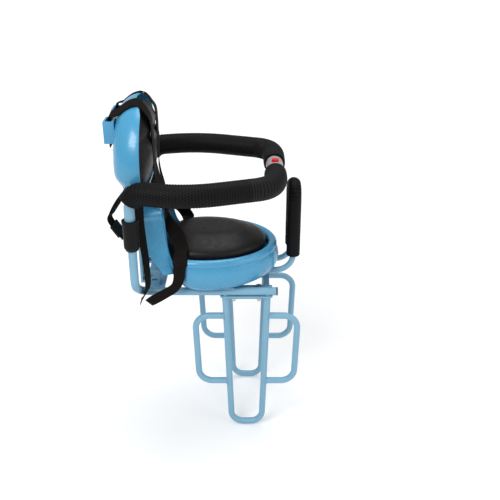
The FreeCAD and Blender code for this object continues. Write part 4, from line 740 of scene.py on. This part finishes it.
# %% Start from the CAD block
def soft_block(node, voxel, draw_in):
    """A remeshed copy of a CAD block, a little smaller than the block."""
    pad = bpy.data.objects.new(node + "_soft", frame["nodes"][node].data.copy())
    bpy.context.scene.collection.objects.link(pad)
    take(pad)
    bpy.ops.object.mode_set(mode="EDIT")
    bpy.ops.mesh.select_all(action="SELECT")
    bpy.ops.mesh.remove_doubles(threshold=0.02 * MM)
    bpy.ops.object.mode_set(mode="OBJECT")
    pad.data.remesh_voxel_size = voxel
    bpy.ops.object.voxel_remesh()
    bpy.ops.object.mode_set(mode="EDIT")
    bpy.ops.mesh.select_all(action="SELECT")
    bpy.ops.transform.shrink_fatten(value=-draw_in)
    bpy.ops.object.mode_set(mode="OBJECT")
    return pad


# %% Swell and smooth it
PRESSURE = 4.0
CLOTH_FRAMES = 20


def swell(pad, cap):
    """Blow the pad up as cloth; no point moves further than the cap."""
    take(pad)
    start = [v.co.copy() for v in pad.data.vertices]
    cloth = pad.modifiers.new("cloth", "CLOTH")
    cloth.settings.use_pressure = True
    cloth.settings.uniform_pressure_force = PRESSURE
    cloth.settings.effector_weights.gravity = 0.0
    for moment in range(1, CLOTH_FRAMES + 1):
        bpy.context.scene.frame_set(moment)
    bpy.ops.object.modifier_apply(modifier="cloth")
    bpy.context.scene.frame_set(1)
    for v, before in zip(pad.data.vertices, start):
        shift = v.co - before
        if shift.length > cap:
            v.co = before + shift.normalized() * cap


def ease_and_smooth(pad, rounds):
    """Iron out the remesh's steps, then add one subdivision."""
    ease = pad.modifiers.new("ease", "SMOOTH")
    ease.iterations = rounds
    smooth = pad.modifiers.new("smooth", "SUBSURF")
    smooth.levels = smooth.render_levels = 1
    bake_modifiers(pad)


# %% [markdown]
# ## Seat cushion
# The seat cushion is one plain crowned pad, so it needs no seam and many rounds of ironing.

# %% Seat pad
SEAT_VOXEL = 5 * MM
SEAT_DRAW_IN = 2.5 * MM
SEAT_CAP = 2.5 * MM
SEAT_ROUNDS = 14
seat_pad = soft_block("seat_cushion", SEAT_VOXEL, SEAT_DRAW_IN)
swell(seat_pad, SEAT_CAP)
ease_and_smooth(seat_pad, SEAT_ROUNDS)
dress(seat_pad, "seat_pad", finishes["cushion_vinyl"], "frame", 180)
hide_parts("seat_cushion")

# %% [markdown]
# ## Back cushion
# The back cushion has a sewn crease across its upper part, which parts a headrest from the back.
# The remesh would fill a narrow seam, so the crease is pressed into its front before the cloth swells,
# and the swelling rounds the two fields on both sides of it.

# %% Back pad
BACK_VOXEL = 4 * MM
BACK_DRAW_IN = 3 * MM
BACK_CAP = 6 * MM
BACK_ROUNDS = 3
CREASE_Z = 292 * MM
CREASE_WIDE = 8 * MM
CREASE_DEEP = 5 * MM
back_pad = soft_block("back_cushion", BACK_VOXEL, BACK_DRAW_IN)
back_low, back_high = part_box("back_cushion")
middle_x = (back_low[0] + back_high[0]) / 2
for v in back_pad.data.vertices:
    if v.co.x > middle_x:
        v.co.x -= CREASE_DEEP * math.exp(-(((v.co.z - CREASE_Z) / CREASE_WIDE) ** 2))
swell(back_pad, BACK_CAP)
ease_and_smooth(back_pad, BACK_ROUNDS)
dress(back_pad, "back_pad", finishes["cushion_vinyl"], "frame", 180)
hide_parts("back_cushion")

# %% [markdown]
# ## Harness webbing
# Each belt is a flat strip of webbing that turns over edges and twists on its way.
# A curve with a flat bevel twists where it likes. A grid laid along stations, each with its own
# direction for the width, puts every twist where the real belt has it.

# %% Lay a belt
BELT_WIDE = 25.0
BELT_THICK = 1.6
BELT_EDGE = 0.5
ROWS_PER_RUN = 8
COLUMNS = 6


def belt(stations, mirror):
    """Stations are a middle point, a width direction and a share of the width; mirror is 1 or -1."""
    middles = [Vector((p[0], p[1] * mirror, p[2])) for p, _, _ in stations]
    edges = []
    for i, (_, w, share) in enumerate(stations):
        ahead = (middles[min(i + 1, len(middles) - 1)] - middles[max(i - 1, 0)]).normalized()
        wide = Vector((w[0], w[1] * mirror, w[2]))
        wide = (wide - ahead * wide.dot(ahead)).normalized() * (BELT_WIDE / 2 * share)
        edges.append([middles[i] - wide, middles[i] + wide])
    rows = smooth_rows(edges, ROWS_PER_RUN)
    strip = grid_through(rows, COLUMNS)
    run = [0.0]
    for before, after in zip(rows, rows[1:]):
        run.append(run[-1] + (after[0] + after[1] - before[0] - before[1]).length / 2)
    uv = strip.data.uv_layers[0].data
    for loop in strip.data.loops:
        row, column = divmod(loop.vertex_index, COLUMNS + 1)
        uv[loop.index].uv = (run[row], BELT_WIDE * column / COLUMNS)
    thicken(strip, BELT_THICK, BELT_EDGE)
    return strip


# %% [markdown]
# ## Belt routes
# A shoulder belt comes through its guide behind the backrest, over the top and down to the buckle.
# A lap belt leaves the buckle, goes round the front of the wing and back; its tail hangs behind the seat.
# A rear belt hangs from under the backrest. The routes are those of the right side, in millimetres.

# %% Stations of the shoulder belt
shoulder_route = [
    ((-230.5, -40, 273), (0, 1, 0), 1),
    ((-230.5, -40, 321), (0, 1, 0), 1),
    ((-224, -40, 328), (0, 1, 0.36), 1),
    ((-214.3, -39.7, 331.4), (0, 1, 0.36), 1),
    ((-207.6, -39.4, 336.9), (0, 1, 0.36), 1),
    ((-201.4, -39.1, 341.3), (0, 1, 0.36), 1),
    ((-195.1, -38.8, 344.6), (0, 1, 0.36), 1),
    ((-189.4, -38.5, 346.6), (0, 1, 0.34), 1),
    ((-183.6, -38.2, 347.8), (0, 1, 0.3), 1),
    ((-178.8, -37.9, 346), (0, 1, 0.25), 1),
    ((-174.4, -37.6, 341.6), (0, 1, 0.22), 1),
    ((-168.2, -37, 333), (0, 1, 0.24), 1),
    ((-161.7, -36.5, 320), (0, 1, 0.12), 1),
    ((-160.2, -35, 298), (0, 1, 0), 1),
    ((-160.2, -34, 280), (0, 1, 0), 1),
    ((-160, -31, 250), (0, 1, 0), 1),
    ((-158.5, -23, 214), (0.25, 1, 0), 1),
    ((-151.5, -15.5, 188), (0.3, 1, 0), 1),
    ((-145.4, -13.2, 172.8), (0, 1, 0), 1),
]
print("shoulder belt:", len(shoulder_route), "stations")

# %% Stations of the lap belt, its tail and the rear belt
lap_route = [
    ((-145.4, -26.4, 144), (0, 0, 1), 1),
    ((-140.4, -46, 133), (0.5, 0.3, 1), 1),
    ((-125.4, -60, 118), (0.9, 0.3, 0.6), 1),
    ((-116, -73, 97), (1, 0.2, 0.3), 1),
    ((-117, -89.5, 86), (1, 0, 0.1), 0.95),
    ((-117, -101, 75), (1, 0, 0), 0.9),
    ((-118, -105.3, 62), (1, 0, 0), 0.85),
    ((-119, -105.3, 50), (1, 0, 0), 0.8),
    ((-127, -105.3, 32), (0.8, 0, -0.6), 0.7),
    ((-148, -105.3, 17.5), (0.5, 0.2, -1), 0.8),
    ((-166, -105.3, 6.5), (0.4, 0.3, -1), 0.85),
    ((-175, -105.3, 0.5), (0.3, 0.4, -0.8), 0.85),
]
tail_route = [
    ((-189, -105.3, 3.5), (0, 1, 0.1), 0.9),
    ((-185, -105.3, 10.5), (0.1, 1, 0), 0.9),
    ((-179, -105.3, 20.5), (0.2, 1, 0), 0.9),
    ((-174, -105.3, 38.5), (0.35, 1, 0), 0.8),
    ((-175, -104, 80), (0.45, 1, 0), 0.75),
    ((-179, -100, 120), (0.5, 0.9, 0), 0.8),
    ((-186, -89.2, 152), (0.7, 0.6, 0), 0.9),
    ((-190, -65, 183.6), (1, 0, 0), 0.9),
    ((-190, -65, 197.6), (1, 0, 0), 0.9),
]
rear_route = [
    ((-207, -72, 206.7), (0.1, 1, 0), 1),
    ((-220, -74, 184.7), (0.6, 0.9, 0.4), 1),
    ((-232, -76, 164.7), (0.4, 1, 0.2), 1),
    ((-236, -77, 150.7), (0.1, 1, 0), 1),
    ((-214, -79, 118.7), (0.1, 1, 0), 1),
]
print("lap belt, tail and rear belt:", len(lap_route), len(tail_route), len(rear_route), "stations")

# %% Belts on both sides
belt_routes = {"shoulder": [shoulder_route], "lap": [lap_route, tail_route], "rear": [rear_route]}
for side, way in SIDES:
    for kind, routes in belt_routes.items():
        strap = join([belt(route, -way) for route in routes])
        dress(strap, "%s_%s_webbing" % (side, kind), finishes["webbing"], "frame", 50)
        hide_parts("%s_%s_belt" % (side, kind))

# %% [markdown]
# ## Floor
# The seat stands over a sheet of pale studio paper that keeps its shadow.
# The lamps reach only the near paper, and the rest would turn grey. More light would bleach the seat,
# so the paper glows a little by itself, more with distance, and only for the camera and for mirrored
# and refracted rays, which leaves the light on the seat as it is.

# %% Paper floor
FLOOR_SIZE = 40
NEAR_PAPER, FAR_PAPER = 0.5, 3.5
NEAR_GLOW, FAR_GLOW = 0.12, 0.65
floor_z = cad_box[0][2] - 1 * MM
deselect()
bpy.ops.mesh.primitive_plane_add(size=FLOOR_SIZE, location=(0, 0, floor_z))
floor = bpy.context.object
settle()
floor.name = "studio_floor"
WHITE = (1, 1, 1, 1)
paper, tree, shader = new_material(
    "studio_paper", base_color=linear("#F4F5F6"), roughness=0.9, emission_color=WHITE
)
ray = put(tree, "ShaderNodeLightPath").outputs
mirrored = put(tree, "ShaderNodeMath", {0: ray["Is Glossy Ray"], 1: ray["Is Transmission Ray"]})
seen = put(tree, "ShaderNodeMath", {0: ray["Is Camera Ray"], 1: mirrored.outputs[0]})
place = put(tree, "ShaderNodeTexCoord").outputs["Object"]
away = put(tree, "ShaderNodeVectorMath", {0: place}, operation="LENGTH").outputs["Value"]
ends = {"From Min": NEAR_PAPER, "From Max": FAR_PAPER, "To Min": NEAR_GLOW, "To Max": FAR_GLOW}
spread = put(tree, "ShaderNodeMapRange", {"Value": away, **ends})
glow = {0: seen.outputs[0], 1: spread.outputs[0]}
put(tree, "ShaderNodeMath", glow, shader.inputs["Emission Strength"], operation="MULTIPLY")
floor.data.materials.append(paper)
print("floor at", round(floor_z, 4), "m")

# %% [markdown]
# ## Light
# A white sky at half strength fills the shadows, and the camera sees it as plain white.
# Three large soft lamps do the rest: a key from the front left, a weak fill from the right and a lamp
# above. Large lamps give the broad highlights that show the shells' roundness.

# %% Sky
SKY_LIGHT = 0.5
world = bpy.data.worlds.new("studio")
bpy.context.scene.world = world
world.use_nodes = True
sky = world.node_tree.nodes["Background"]
sky.inputs["Color"].default_value = WHITE
camera_ray = put(world.node_tree, "ShaderNodeLightPath").outputs["Is Camera Ray"]
level = {"Value": camera_ray, "To Min": SKY_LIGHT, "To Max": 1.0}
put(world.node_tree, "ShaderNodeMapRange", level, sky.inputs["Strength"])
print("sky at", SKY_LIGHT)

# %% Soft lamps
AIM = Vector((0, 0, 0.1))
# Name, place and size in metres, and watts.
LAMPS = [
    ("key", (-1.1, -1.6, 2.0), 1.2, 38),
    ("fill", (1.8, -1.2, 1.0), 1.4, 12),
    ("top", (0.2, 0.6, 2.4), 1.6, 26),
]
for name, place, size, watts in LAMPS:
    deselect()
    bpy.ops.object.light_add(type="AREA", location=place)
    lamp = bpy.context.object
    lamp.name = name
    lamp.data.size = size
    lamp.data.energy = watts
    lamp.rotation_euler = (AIM - Vector(place)).to_track_quat("-Z", "Y").to_euler()
    print(name, "lamp", watts, "W")

# %% [markdown]
# ## Camera
# The camera looks down on the right side of the seat, as the photograph does.
# Its place and tilt were worked out from pairs of pieces that are the same on the near and far side.
# A lens is written in millimetres, so the focal length in pixels is turned into one for the sensor.

# %% Place the camera
CAMERA_PLACE = (0.0066, -1.197, 0.6315)
LOOK_DOWN = 25.7
SENSOR = 36
FOCAL_PIXELS = 700
FRAME_PIXELS = 500
bpy.ops.object.camera_add(location=CAMERA_PLACE, rotation=(math.radians(90 - LOOK_DOWN), 0, 0))
camera = bpy.context.object
camera.data.sensor_width = SENSOR
camera.data.lens = SENSOR * FOCAL_PIXELS / FRAME_PIXELS
bpy.context.scene.camera = camera
bpy.context.scene.view_settings.view_transform = "Standard"
print("lens", round(camera.data.lens, 1), "mm")
